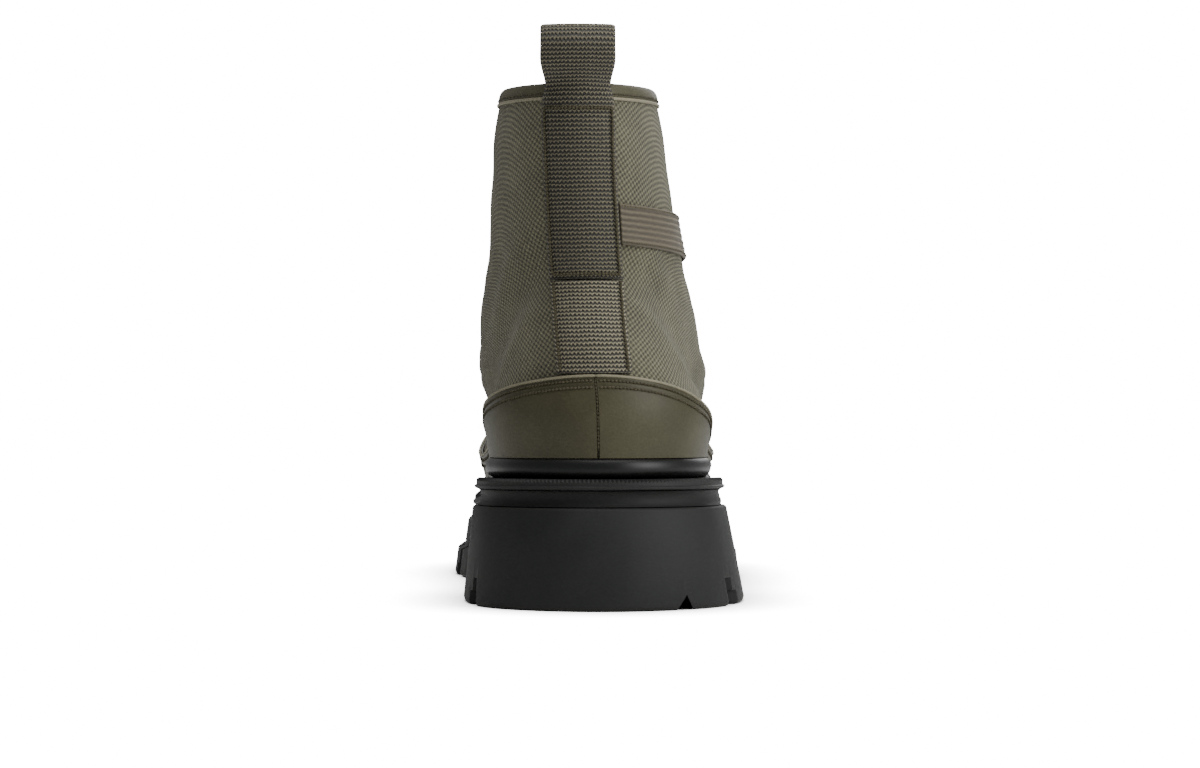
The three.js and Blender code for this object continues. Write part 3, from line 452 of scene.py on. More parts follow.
def ramp(add, source, stops):
    """A colour ramp of (place, hex) stops."""
    node = add("ShaderNodeValToRGB", {0: source})
    elements = node.color_ramp.elements
    while len(elements) < len(stops):
        elements.new(0.5)
    for element, (place, colour) in zip(elements, stops):
        element.position = place
        element.color = linear(colour)
    return node.outputs[0]


def maths(add, operation, first, second=None, clamp=False):
    links = {0: first} if not isinstance(first, (int, float)) else {}
    values = {} if links else {"in_0": first}
    if second is not None:
        if isinstance(second, (int, float)):
            values["in_1"] = second
        else:
            links[1] = second
    return add("ShaderNodeMath", links, operation=operation, use_clamp=clamp, **values).outputs[0]


def cloth_lines(add, source, spacing, turn):
    """Waves of thread spacing, in millimetres, across a cloth turned by degrees: -1 to 1."""
    placed = add(
        "ShaderNodeVectorRotate", {"Vector": source}, rotation_type="Z_AXIS",
        in_Angle=math.radians(turn),
    )
    split = add("ShaderNodeSeparateXYZ", {0: placed.outputs[0]})
    waves = []
    for axis in (0, 1):
        phase = maths(add, "MULTIPLY", split.outputs[axis], 2 * PI / spacing)
        waves.append(maths(add, "SINE", phase))
    return waves


def cloth_uv(add):
    """The cloth's own millimetres, slightly wavered, as hand-laid cloth is."""
    uv = add("ShaderNodeUVMap", uv_map="UVMap")
    waver = add("ShaderNodeTexNoise", {"Vector": uv.outputs[0]}, in_Scale=0.35, in_Detail=1.0)
    offset = add("ShaderNodeVectorMath", {0: waver.outputs["Color"]}, operation="MULTIPLY")
    offset.inputs[1].default_value = (0.5, 0.5, 0)
    return add("ShaderNodeVectorMath", {0: uv.outputs[0], 1: offset.outputs[0]}, operation="ADD").outputs[0]


def noise_on(add, scale_mm, detail=3.0, roughness=0.55):
    """Noise on the object's own place, with patches of a size in millimetres."""
    place = add("ShaderNodeTexCoord").outputs["Object"]
    node = add(
        "ShaderNodeTexNoise", {"Vector": place}, in_Scale=1000 / scale_mm, in_Detail=detail,
        in_Roughness=roughness,
    )
    return node.outputs[0]


def bump(add, shader, height, depth_mm, strength=1.0, under=None):
    links = {"Height": height}
    if under is not None:
        links["Normal"] = under
    node = add("ShaderNodeBump", links, in_Strength=strength, in_Distance=depth_mm * MM)
    return node.outputs[0]


def woven_cloth(name, dark, base, light, spacing, turn, depth, roughness, sheen):
    """Plain basket weave: thread crossings stand up as dots in rows; the colour follows their height, with painted
    shade darkening the gaps between.
    """
    material, add, shader, tree = new_material(name)
    uv = cloth_uv(add)
    across, down = cloth_lines(add, uv, spacing, turn)
    # The rows stand out more one way than the other, as in the photo
    crossings = maths(add, "MULTIPLY_ADD", down, 1.2)
    tree.links.new(across, crossings.node.inputs[2])
    height = maths(add, "MULTIPLY_ADD", crossings, 0.2)
    height.node.inputs[2].default_value = 0.5
    patches = noise_on(add, 14)
    fibre = noise_on(add, 0.5, 2.0)
    mixed = maths(add, "MULTIPLY_ADD", patches, 0.25)
    tree.links.new(maths(add, "MULTIPLY", height, 0.6), mixed.node.inputs[2])
    tint = maths(add, "MULTIPLY_ADD", fibre, 0.35)
    tree.links.new(mixed, tint.node.inputs[2])
    # Painted shade: the colour ramp darkens the low gaps of the weave, where shade falls.
    colour = ramp(add, tint, [(0.32, dark), (0.6, base), (0.9, light)])
    tree.links.new(colour, shader.inputs["Base Color"])
    both = maths(add, "MULTIPLY_ADD", fibre, 0.3)
    tree.links.new(height, both.node.inputs[2])
    tree.links.new(bump(add, shader, both, depth), shader.inputs["Normal"])
    shader.inputs["Roughness"].default_value = roughness
    shader.inputs["Sheen Weight"].default_value = sheen
    shader.inputs["Sheen Roughness"].default_value = 0.5
    return material


def coated_cloth(name, dark, base, light, roughness, grain_mm, grain_depth):
    """Smooth coated fabric: satin film over a fine knit, with a faint pebble and slow tint."""
    material, add, shader, tree = new_material(name)
    slow = noise_on(add, 30)
    fine = noise_on(add, grain_mm, 4.0)
    tint = maths(add, "MULTIPLY_ADD", fine, 0.3)
    tree.links.new(slow, tint.node.inputs[2])
    tree.links.new(ramp(add, tint, [(0.35, dark), (0.65, base), (0.95, light)]), shader.inputs["Base Color"])
    tree.links.new(bump(add, shader, fine, grain_depth, 0.5), shader.inputs["Normal"])
    rough = maths(add, "MULTIPLY_ADD", slow, 0.12)
    rough.node.inputs[2].default_value = roughness - 0.06
    tree.links.new(rough, shader.inputs["Roughness"])
    shader.inputs["Specular IOR Level"].default_value = 0.22
    return material


def moulded_rubber(name, dark, base, roughness, grain_depth):
    """Moulded rubber: matt skin from a spark-eroded mould, with dusty, slightly paler patches."""
    material, add, shader, tree = new_material(name)
    skin = noise_on(add, 0.5, 3.0)
    patches = noise_on(add, 22)
    tree.links.new(ramp(add, patches, [(0.35, dark), (0.7, base)]), shader.inputs["Base Color"])
    tree.links.new(bump(add, shader, skin, grain_depth, 0.5), shader.inputs["Normal"])
    rough = maths(add, "MULTIPLY_ADD", patches, 0.14)
    rough.node.inputs[2].default_value = roughness - 0.07
    tree.links.new(rough, shader.inputs["Roughness"])
    shader.inputs["Specular IOR Level"].default_value = 0.25
    return material


def ribbed_webbing(name, dark, base, light, rib, bead, zigzag, depth, roughness):
    """Heavy polyester webbing: rows of round floats in a zigzag, with deep shade between rows."""
    material, add, shader, tree = new_material(name)
    uv = cloth_uv(add)
    split = add("ShaderNodeSeparateXYZ", {0: uv})
    beads = maths(add, "SINE", maths(add, "MULTIPLY", split.outputs[0], 2 * PI / bead))
    shifted = maths(add, "MULTIPLY_ADD", beads, zigzag)
    tree.links.new(split.outputs[1], shifted.node.inputs[2])
    rows = maths(add, "COSINE", maths(add, "MULTIPLY", shifted, 2 * PI / rib))
    fibre = noise_on(add, 0.3, 2.0)
    level = maths(add, "MULTIPLY_ADD", rows, 0.4)
    level.node.inputs[2].default_value = 0.45
    dotted = maths(add, "MULTIPLY_ADD", beads, 0.14)
    tree.links.new(level, dotted.node.inputs[2])
    tint = maths(add, "MULTIPLY_ADD", fibre, 0.25)
    tree.links.new(dotted, tint.node.inputs[2])
    tree.links.new(ramp(add, tint, [(0.2, dark), (0.6, base), (0.95, light)]), shader.inputs["Base Color"])
    tree.links.new(bump(add, shader, tint, depth), shader.inputs["Normal"])
    shader.inputs["Roughness"].default_value = roughness
    shader.inputs["Sheen Weight"].default_value = 0.03
    return material


def twisted_thread(name, dark, base, pitch):
    """Bonded nylon thread or cord: a fine twist that catches the light in slanting streaks."""
    material, add, shader, tree = new_material(name)
    uv = add("ShaderNodeUVMap", uv_map="UVMap").outputs[0]
    across, down = cloth_lines(add, uv, pitch, 35)
    level = maths(add, "MULTIPLY_ADD", maths(add, "MULTIPLY", across, down), 0.5)
    level.node.inputs[2].default_value = 0.5
    tree.links.new(ramp(add, level, [(0.1, dark), (0.8, base)]), shader.inputs["Base Color"])
    tree.links.new(bump(add, shader, level, 0.25), shader.inputs["Normal"])
    shader.inputs["Roughness"].default_value = 0.65
    shader.inputs["Specular IOR Level"].default_value = 0.2
    return material


def needle_shade(name, colour):
    """Painted shade for the pierced hole after each stitch: a near-black grain, since no light comes back from the
    hole.
    """
    material, add, shader, tree = new_material(name)
    shader.inputs["Base Color"].default_value = linear(colour)
    shader.inputs["Roughness"].default_value = 1.0
    shader.inputs["Specular IOR Level"].default_value = 0.0
    return material


def painted_brass(name, colour):
    """Stamped brass eyelet with an olive lacquer, worn a little paler on the roll."""
    material, add, shader, tree = new_material(name)
    wear = noise_on(add, 1.6, 4.0)
    tree.links.new(ramp(add, wear, [(0.42, colour), (0.72, "#6f6852")]), shader.inputs["Base Color"])
    tree.links.new(bump(add, shader, wear, 0.03, 0.5), shader.inputs["Normal"])
    shader.inputs["Metallic"].default_value = 0.75
    shader.inputs["Roughness"].default_value = 0.38
    return material


# Sole


def prism(name, outline, low, high, to_point):
    """A cutter: an outline pushed from low to high; to_point turns (a, b, depth) to the model's place."""
    bm = bmesh.new()
    face = bm.faces.new([bm.verts.new(to_frame(to_point(a, b, low))) for a, b in outline])
    made = bmesh.ops.extrude_face_region(bm, geom=[face])
    ends = [item for item in made["geom"] if isinstance(item, bmesh.types.BMVert)]
    move = to_frame(to_point(0, 0, high)) - to_frame(to_point(0, 0, low))
    bmesh.ops.translate(bm, verts=ends, vec=move)
    bmesh.ops.recalc_face_normals(bm, faces=bm.faces)
    return piece_from(name, bm, smooth=False)


def boxes(name, rows):
    """A cutter of separate boxes, each from a low to a high corner and turned about +Z."""
    bm = bmesh.new()
    for low, high, turn in rows:
        size = [(b - a) * MM for a, b in zip(low, high)]
        middle = to_frame([(a + b) / 2 for a, b in zip(low, high)])
        # Boxes turn about the model's own origin before they are moved to their middle
        place = Matrix.Translation(middle) @ Matrix.Rotation(turn, 4, "Z") @ Matrix.Diagonal((*size, 1))
        bmesh.ops.create_cube(bm, size=1, matrix=place)
    return piece_from(name, bm, smooth=False)


CROSS_GROOVES = (
    (0.105, 0.55), (0.205, 0.55), (0.49, 1), (0.56, 1), (0.63, 1), (0.7, 1), (0.77, 1), (0.84, 1), (0.91, 1),
)
GROOVE_SLANT = 0.16
SOLE_COLUMNS = 220


def plate(name, loops, edge, rounds):
    """A closed plate through loops of (outset, height) functions, gathered to its middle line."""
    middle = len(loops)

    def point(turn, place):
        low, high = place < 0, place >= middle
        if low or high:
            share = (place + 2) * 0.5 if low else (middle + 1 - place) * 0.5
            x, y, z = edge(turn, 0 if low else middle - 1)
            _, opposite_y, opposite_z = edge(-turn, 0 if low else middle - 1)
            return (x * share, mix((y + opposite_y) / 2, y, share), mix((z + opposite_z) / 2, z, share))
        return edge(turn, place)

    return swept(name, rounds, list(range(-2, middle + 2)), point, closed=False)


def even_turns(edge, count):
    """Turns round a closed edge, evenly spaced in length, alike on both sides."""
    fine = spread(0, 1, 801)
    points = [Vector(edge(turn)) for turn in fine]
    lengths = [0.0]
    for here, there in zip(points, points[1:]):
        lengths.append(lengths[-1] + (there - here).length)
    half, at = [], 0
    steps = count // 2
    for step in range(steps + 1):
        wanted = lengths[-1] * step / steps
        while at < len(fine) - 2 and lengths[at + 1] < wanted:
            at += 1
        part = (wanted - lengths[at]) / (lengths[at + 1] - lengths[at])
        half.append(mix(fine[at], fine[at + 1], min(max(part, 0), 1)))
    half[0], half[-1] = 0.0, 1.0
    return [-turn for turn in reversed(half[1:])] + half


def outsole_edge(turn, place):
    """The block's side, loop by loop, from the floor to its top."""
    along = along_of(turn)
    low, high = ground_line(along), block_top(along)
    flare = BLOCK_STEP + SOLE_FLARE * look_up(SOLE_PLAN, 3 if turn < 0 else 4, along)
    front = min(max((along - ARCH_START) / (ARCH_END - ARCH_START), 0), 1)
    top = BLOCK_STEP + BLOCK_STEP_FRONT * front
    step = LUG_STEP * front
    loops = (
        (flare - EDGE_CHAMFER * 0.7, low),
        (flare - EDGE_CHAMFER * 0.2, low + EDGE_CHAMFER * 0.3),
        (flare, low + EDGE_CHAMFER),
        (mix(flare, top, 0.45) + step / 2, mix(low, high, 0.47)),
        (mix(flare, top, 0.5) - step / 2, mix(low, high, 0.53)),
        (top + 0.15, high - EDGE_CHAMFER * 0.5),
        (top - EDGE_CHAMFER * 0.15, high - EDGE_CHAMFER * 0.15),
        (top - EDGE_CHAMFER * 0.5, high),
    )
    outset, z = loops[int(place)]
    x, y = sole_edge(turn, outset)
    return x, y, z


def sole_layer(name, loops, rounds, tooth=None):
    def edge(turn, place):
        outset, height = loops[int(place)]
        x, y = sole_edge(turn, outset)
        lift = tooth(turn, int(place)) if tooth else 0
        return x, y, block_top(along_of(turn)) + height + lift

    return plate(name, loops, edge, rounds)


class BOOT_OT_outsole(bpy.types.Operator):
    """Outsole block with arch, cross grooves, edge slots and heel notch"""

    bl_idname = "boot.outsole"
    bl_label = "Outsole"

    def execute(self, context):
        rounds = even_turns(lambda turn: (*sole_edge(turn, SOLE_FLARE), 0), SOLE_COLUMNS)
        block = plate("outsole_dressed", [0] * 8, outsole_edge, rounds)
        sole_y = lambda along: SOLE_START + SOLE_LENGTH * along
        reach = SOLE_BALL_WIDTH
        arch = [
            (sole_y(ARCH_START), -1),
            (sole_y(ARCH_START) + ARCH_HEIGHT * 0.25, ARCH_HEIGHT),
            (sole_y(ARCH_END) - ARCH_HEIGHT * 0.8, ARCH_HEIGHT * 0.75),
            (sole_y(ARCH_END), -1),
        ]
        notch = [(-NOTCH_WIDTH / 2, -1), (NOTCH_WIDTH / 2, -1), (NOTCH_WIDTH * 0.1, NOTCH_HEIGHT)]
        cutters = [
            prism("arch_cut", arch, -reach, reach, lambda a, b, depth: (depth, a, b)),
            prism("notch_cut", notch, -reach * 0.05, reach * 0.2,
                  lambda a, b, depth: (NOTCH_OFFSET + a, depth, b)),
        ]
        half = GROOVE_WIDTH / 2
        for side in (-1, 1):
            grooves, slots = [], []
            for along, height in CROSS_GROOVES:
                y, low = sole_y(along), ground_line(along)
                edge, _ = sole_edge(side * math.acos(1 - 2 * along) / PI, SOLE_FLARE)
                far = side * reach
                ends = sorted((0.0, far))
                grooves.append(((ends[0], y - half, low - TOE_SPRING), (ends[1], y + half, low + LUG_DEPTH),
                                side * GROOVE_SLANT))
                ends = sorted((edge - side * SIDE_SLOT_DEPTH, far))
                slots.append(((ends[0], y - half * 0.8, low - TOE_SPRING),
                              (ends[1], y + half * 0.8, low + LUG_STEP_HEIGHT * height), side * GROOVE_SLANT))
            cutters += [boxes(f"groove_cut_{side + 1}", grooves), boxes(f"slot_cut_{side + 1}", slots)]
        cut(block, cutters, "MANIFOLD")
        bevel = block.modifiers.new("Moulded edge", "BEVEL")
        bevel.width, bevel.segments, bevel.limit_method = 0.4 * MM, 2, "ANGLE"
        bevel.angle_limit, bevel.use_clamp_overlap = math.radians(35), True
        settle(block)
        bm = bmesh.new()
        bm.from_mesh(block.data)
        bmesh.ops.dissolve_degenerate(bm, edges=bm.edges, dist=1e-7)
        bm.to_mesh(block.data)
        bm.free()
        for face in block.data.polygons:
            face.use_smooth = True
        sharpen(block, 38)
        finish_piece(block, [MATERIALS["outsole"]], ["outsole"])
        return {"FINISHED"}


WELT_TEETH = 470


class BOOT_OT_sole_layers(bpy.types.Operator):
    """Recessed midsole, welt strip with its pinked edge, and the round rand"""

    bl_idname = "boot.sole_layers"
    bl_label = "Midsole, welt and rand"

    def execute(self, context):
        rounds = even_turns(lambda turn: (*sole_edge(turn, 0), 0), SOLE_COLUMNS)
        inner = -MIDSOLE_INSET
        midsole = sole_layer("midsole_dressed", [
            (inner * 0.5, MIDSOLE_BOTTOM), (inner * 0.75, mix(MIDSOLE_BOTTOM, MIDSOLE_TOP, 0.12)),
            (inner, mix(MIDSOLE_BOTTOM, MIDSOLE_TOP, 0.35)), (inner, mix(MIDSOLE_BOTTOM, MIDSOLE_TOP, 0.7)),
            (inner * 0.8, mix(MIDSOLE_BOTTOM, MIDSOLE_TOP, 0.9)), (inner * 0.6, MIDSOLE_TOP),
        ], rounds)
        sharpen(midsole, 50)
        finish_piece(midsole, [MATERIALS["midsole"]], ["midsole"])

        ridge = WELT_RIDGE
        teeth = even_turns(lambda turn: (*sole_edge(turn, 0), 0), WELT_TEETH * 4)
        order = {turn: step for step, turn in enumerate(teeth)}
        profile = (0.0, 0.55, 1.0, 0.45)
        depth = {5: 0.12, 6: 0.42, 7: 0.34}

        def tooth(turn, place):
            return depth.get(place, 0) * WELT_HEIGHT * 0.5 * (profile[order.get(turn, 0) % 4] - 0.7)

        welt = sole_layer("welt_dressed", [
            (-ridge, WELT_BOTTOM), (-ridge * 0.15, WELT_BOTTOM + ridge * 0.5), (0, WELT_BOTTOM + ridge),
            (0, WELT_BOTTOM + 1.5 * ridge), (-ridge * 0.9, WELT_BOTTOM + 2 * ridge),
            (-ridge * 0.95, WELT_TOP - 1.5), (-ridge, WELT_TOP - 0.75), (-ridge * 2, WELT_TOP - 0.1),
            (-ridge * 4.5, WELT_TOP),
        ], teeth, tooth)
        sharpen(welt, 34)
        finish_piece(welt, [MATERIALS["welt"]], ["welt"])

        high = RAND_ROW * RAND_HEIGHT / (UPPER_HEIGHT * UPPER_SECTIONS[RAND_ROW][1])
        section = [(0, 0)]
        for angle in spread(-PI / 2, PI / 2, 15):
            section.append((0.3 + 0.7 * math.cos(angle) ** 0.9 if abs(angle) < PI / 2 - 0.01 else 0.3,
                            0.5 + 0.5 * math.sin(angle)))
        section += [(0, 1)]

        def bead(turn, place):
            out, up = section[int(place)]
            row = up * high
            return upper_point(row, turn) + level_normal(row, turn) * (SEAT_GAP + out * RAND_DEPTH)

        rand = swept("rand_dressed", spread(-1, 1, SOLE_COLUMNS + 1), list(range(len(section))), bead)
        sharpen(rand, 60)
        finish_piece(rand, [MATERIALS["rand"]], ["rand"])

        top = RAND_ROW * INSOLE_THICKNESS / (UPPER_HEIGHT * UPPER_SECTIONS[RAND_ROW][1])
        levels = [0, top * 0.85, top]

        def bed(turn, place):
            row = levels[int(place)]
            inset = WALL + SKIN_GAP + (0.6 if place == 2 else 0)
            spot = upper_point(row, turn) - level_normal(row, turn) * inset
            return tuple(spot)

        insole = plate("insole_dressed", levels, bed, spread(-1, 1, 161))
        sharpen(insole, 50)
        finish_piece(insole, [MATERIALS["footbed"]], ["insole"])
        return {"FINISHED"}


# Upper


@lru_cache(maxsize=None)
def cloth_grid(side):
    """Lengths over the upper's surface: round from the back line, and up from the feather line."""
    rows, turns = spread(0, COLLAR_ROW, 27), spread(0, 1, 41)
    points = [[upper_point(row, side * turn) for turn in turns] for row in rows]
    around = [[0.0] * len(turns) for _ in rows]
    upward = [[0.0] * len(turns) for _ in rows]
    for i in range(len(rows)):
        for j in range(len(turns)):
            if j:
                around[i][j] = around[i][j - 1] + (points[i][j] - points[i][j - 1]).length
            if i:
                upward[i][j] = upward[i - 1][j] + (points[i][j] - points[i - 1][j]).length
    return around, upward


def cloth_place(row, turn):
    """The cloth's own millimetres at a place on the upper; both quarters start at the back line."""
    around, upward = cloth_grid(-1 if turn < 0 else 1)
    a, b = min(max(row, 0), COLLAR_ROW) * 2, min(abs(turn), 1) * 40
    i, j = min(int(a), 25), min(int(b), 39)
    values = []
    for grid in (around, upward):
        low = mix(grid[i][j], grid[i][j + 1], b - j)
        high = mix(grid[i + 1][j], grid[i + 1][j + 1], b - j)
        values.append(mix(low, high, a - i))
    return values


# Stiff heel counter under the canvas: its upper edge, as length round from the back line and height
COUNTER_EDGE = (
    (0, 108), (12, 107), (20, 104.5), (28, 100.5), (38, 93), (48, 84.5), (60, 75.5), (75, 66), (95, 56), (400, 50),
)
# Creases on a quarter: side, start and end as (length from the heel, height), width, depth
CREASES = (
    (1, (150, 108), (88, 86), 10, 0.9),
    (-1, (152, 106), (92, 88), 11, 1.0),
    (1, (168, 92), (112, 72), 9, 0.7),
    (-1, (166, 94), (108, 74), 9, 0.8),
    (1, (128, 134), (72, 112), 13, 0.8),
    (-1, (126, 132), (60, 116), 13, 0.9),
    (-1, (44, 118), (70, 76), 12, 1.1),
    (1, (40, 116), (64, 78), 12, 0.9),
    (1, (206, 74), (182, 62), 10, 0.5),
    (-1, (208, 74), (184, 62), 10, 0.5),
    (1, (112, 158), (58, 150), 16, 0.6),
    (-1, (110, 156), (40, 146), 16, 0.7),
)


def upper_relief(row, turn, point):
    """How far the canvas stands out from the plain last: counter, creases, and slow hand-lasted waves."""
    around = cloth_place(row, turn)[0]
    beyond = (point.z - look_up(COUNTER_EDGE, 1, around)) * 0.8
    relief = 0.45 * bump_of(beyond + 3.5, 5) - 2.8 * bump_of(beyond - 6, 13)
    y = point.y - UPPER_BACK
    for side, start, end, width, depth in CREASES:
        if side * turn < 0:
            continue
        run = Vector(end) - Vector(start)
        offset = Vector((y, point.z)) - Vector(start)
        part = min(max(offset.dot(run) / run.length_squared, 0), 1)
        far = (offset - run * part).length
        taper = 1 - 0.6 * part
        if far < width:
            relief -= depth * taper * bump_of(far, width * 0.75)
        else:
            relief += 0.3 * depth * taper * bump_of(far - width * 1.3, width * 0.5)
    # The waves close on themselves at the vamp's middle line
    spot = Vector((1.7 * math.cos(PI * turn), 1.7 * math.sin(PI * turn), 0.93 * row))
    relief += 0.35 * noise.noise(spot) * ease((row - 2) / 2)
    # Under the overlays the canvas lies flat or lower, so that it never comes through them
    return min(relief, 0.3)


def upper_wall(row, turn, inside):
    """A point on the dressed upper, outside or inside its wall."""
    base = upper_point(row, turn)
    normal = level_normal(row, turn) if row in (0, COLLAR_ROW) else upper_normal(row, turn)
    relief = upper_relief(row, turn, base)
    fade = ease((COLLAR_ROW - row) / 0.8) * ease((row - 1.2) / 1.2)
    return base + normal * ((-WALL if inside else 0) + relief * fade * (0.8 if inside else 1))


def hole_cutters(depth_low, depth_high, radius):
    """Round bars at the twelve eyelets, square to the upper."""
    bars = []
    for side in (1, -1):
        bm = bmesh.new()
        for row, turn in eyelet_seats(side):
            normal = upper_normal(row, turn)
            middle = upper_point(row, turn) + normal * ((depth_low + depth_high) / 2)
            place = Matrix.Translation(to_frame(middle)) @ normal.to_track_quat("Z", "Y").to_matrix().to_4x4()
            bmesh.ops.create_cone(bm, cap_ends=True, segments=20, radius1=radius * MM, radius2=radius * MM,
                                  depth=(depth_high - depth_low) * MM, matrix=place)
        bars.append(piece_from(f"eyelet_cut_{side + 1}", bm, smooth=False))
    return bars


@lru_cache(maxsize=None)
def eyelet_rows():
    first, last, steps = 6.75, 12.62, 120
    rows = [mix(first, last, step / steps) for step in range(steps + 1)]
    points = [upper_point(row, eyestay_turn(row, EYELET_INSET)) for row in rows]
    lengths = [0.0]
    for here, there in zip(points, points[1:]):
        lengths.append(lengths[-1] + (there - here).length)
    wanted = [lengths[-1] * count / (EYELET_COUNT - 1) for count in range(EYELET_COUNT)]
    return [next(row for row, length in zip(rows, lengths) if length >= goal - 1e-6) for goal in wanted]


def eyelet_seats(side):
    return [(row, side * eyestay_turn(row, EYELET_INSET)) for row in eyelet_rows()]


class BOOT_OT_upper(bpy.types.Operator):
    """Canvas upper: one hollow wall with the heel counter, creases and eyelet holes"""

    bl_idname = "boot.upper"
    bl_label = "Upper"

    def execute(self, context):
        rows = sorted(set(spread(0, COLLAR_ROW, 118) + [6.0, 6.04, 6.08, 6.12, 6.2, 6.3, 6.4]))
        places = [(row, False) for row in rows] + [(row, True) for row in reversed(rows)]
        edges = {row: throat_edge(row) for row in rows}
        shell = swept(
            "upper_dressed", spread(-1, 1, 231), places,
            lambda share, place: upper_wall(place[0], share * edges[place[0]], place[1]),
            lambda share, place: cloth_place(place[0], share * edges[place[0]]),
            ends=True, laddered=lambda place: place[0] >= THROAT_ROW, inner=lambda place: place[1], merge=5e-5,
        )
        cut(shell, hole_cutters(-WALL * 2, 4, EYELET_BORE + EYELET_WALL + 2 * SEAT_GAP))
        sharpen(shell, 50)
        finish_piece(shell, [MATERIALS["canvas"], MATERIALS["lining"]], ["upper"])
        return {"FINISHED"}


# Overlays on the upper


def overlay(name, rounds, profile, line, uv=None, wraps=False):
    """A wall on the upper: profile places are (across, height), and line(round, across) is a row and a turn."""

    def point(place_round, place):
        across, height = place
        row, turn = line(place_round, across)
        return upper_skin(row, turn, height)

    return swept(name, rounds, profile, point, uv, ends=not wraps)


def wall_profile(outer, low, thickness):
    """Places round a thin wall: outer (across, extra height) from low to high, then back underneath."""
    top = [(across, low + thickness + extra) for across, extra in outer]
    return top + [(across, low) for across, _ in reversed(outer)]


class BOOT_OT_foxing(bpy.types.Operator):
    """Coated guard round the foot: two halves with a turned hem along the top"""

    bl_idname = "boot.foxing"
    bl_label = "Foxing"

    def execute(self, context):
        low = RAND_ROW * (RAND_HEIGHT + SEAT_GAP) / (UPPER_HEIGHT * UPPER_SECTIONS[RAND_ROW][1])
        seam = 0.3 / (PI * UPPER_BALL_WIDTH / 2)
        # Millimetres down from the hem's fold, and how proud of the plain face the hem stands
        hem = ((0, -0.55), (0.25, -0.12), (0.7, 0.12), (1.3, 0.1), (1.9, -0.16), (2.4, -0.2), (3.0, 0.06),
               (3.7, 0.06), (4.2, -0.2), (4.7, -0.2), (5.5, 0.0))
        face = [(share, 0.0) for share in spread(0, 0.97, 14)]
        for side, word in ((1, "lateral"), (-1, "medial")):

            def line(turn, across, side=side):
                top = foxing_row(side * turn)
                if isinstance(across, tuple):
                    height = (upper_point(top, side * turn) - upper_point(low, side * turn)).length
                    share = max(1 - across[0] / height, 0.5)
                else:
                    height = (upper_point(top, side * turn) - upper_point(low, side * turn)).length
                    share = across * (1 - 5.5 / height) if height > 11 else across * 0.5
                return mix(low, top, share), side * turn

            outer = [(share, extra) for share, extra in face] + [((down,), extra) for down, extra in reversed(hem)]
            profile = wall_profile(outer, SKIN_GAP, FOXING_THICKNESS)
            rounds = [min(max(t, seam), 1 - seam) for t in even_half()]
            half = overlay(f"foxing_{word}_dressed", rounds, profile, line)
            sharpen(half, 60)
            finish_piece(half, [MATERIALS["foxing"]], [f"foxing_{word}"])
        return {"FINISHED"}


@lru_cache(maxsize=None)
def even_half():
    return tuple(turn for turn in even_turns(lambda turn: upper_point(2, turn), 260) if turn >= 0)


def smooth_grid(us, vs, f):
    """A smooth function of (u, v) through f's values on a coarse grid."""
    tables = [tuple((v, *f(u, v)) for v in vs) for u in us]
    width = len(tables[0][0])

    @lru_cache(maxsize=None)
    def line(v):
        return tuple((u, *(look_up(table, c, v) for c in range(1, width))) for u, table in zip(us, tables))

    return lambda u, v: [look_up(line(v), c, u) for c in range(1, width)]


# Webbing: rib and bead spacing in millimetres, as the render shows them
RIB_SPACING, BEAD_SPACING, ZIGZAG, RIB_DEPTH = 1.45, 1.28, 0.22, 0.34


def webbing_relief(x, s, across):
    """Rows of round floats in a zigzag; the selvedges are rounded down."""
    beads = math.sin(2 * PI * x / BEAD_SPACING)
    rows = math.cos(2 * PI * (s + ZIGZAG * beads) / RIB_SPACING)
    selvedge = abs(across) ** 24
    return RIB_DEPTH * (0.5 * rows + 0.12 * beads) * (1 - selvedge) - 0.5 * selvedge


def strap_between(stations):
    """A strap through stations, each a function from a place across to (base, outward)."""
    columns = spread(-1, 1, 9)
    lengths, last = [0.0], None
    for station in stations:
        spot = station(0)[0]
        if last is not None:
            lengths.append(lengths[-1] + (spot - last).length)
        last = spot
    index = {length: station for length, station in zip(lengths, stations)}
    grid = smooth_grid(lengths, columns, lambda s, a: (lambda pair: (*pair[0], *pair[1]))(index[s](a)))

    def at(s, across):
        values = grid(s, across)
        return Vector(values[:3]), Vector(values[3:]).normalized()

    return at, lengths[-1]


def backstay_stations():
    low = row_at_back(upper_point(FOXING_TOP[0][2], 0).z + 2 * SEAT_GAP)
    high = row_at_back(COLLAR_BACK - WEBBING_JOINT_DROP - SEAT_GAP)
    return [skin_station(mix(low, high, up), 1) for up in spread(0, 1, 6)]


def skin_station(row, facing):
    """A station against the outside of the wall (facing 1) or the inside (facing -1)."""
    height = SKIN_GAP if facing > 0 else -(WALL + BINDING_THICKNESS * 0.5 + SKIN_GAP)

    def station(across):
        turn = strap_turn(row, across)
        normal = upper_normal(row, turn)
        return upper_point(row, turn) + normal * height, normal * facing

    return station


# The loop stands free of the collar, where the strap lies a little wider
LOOP_SPREAD = 1.09


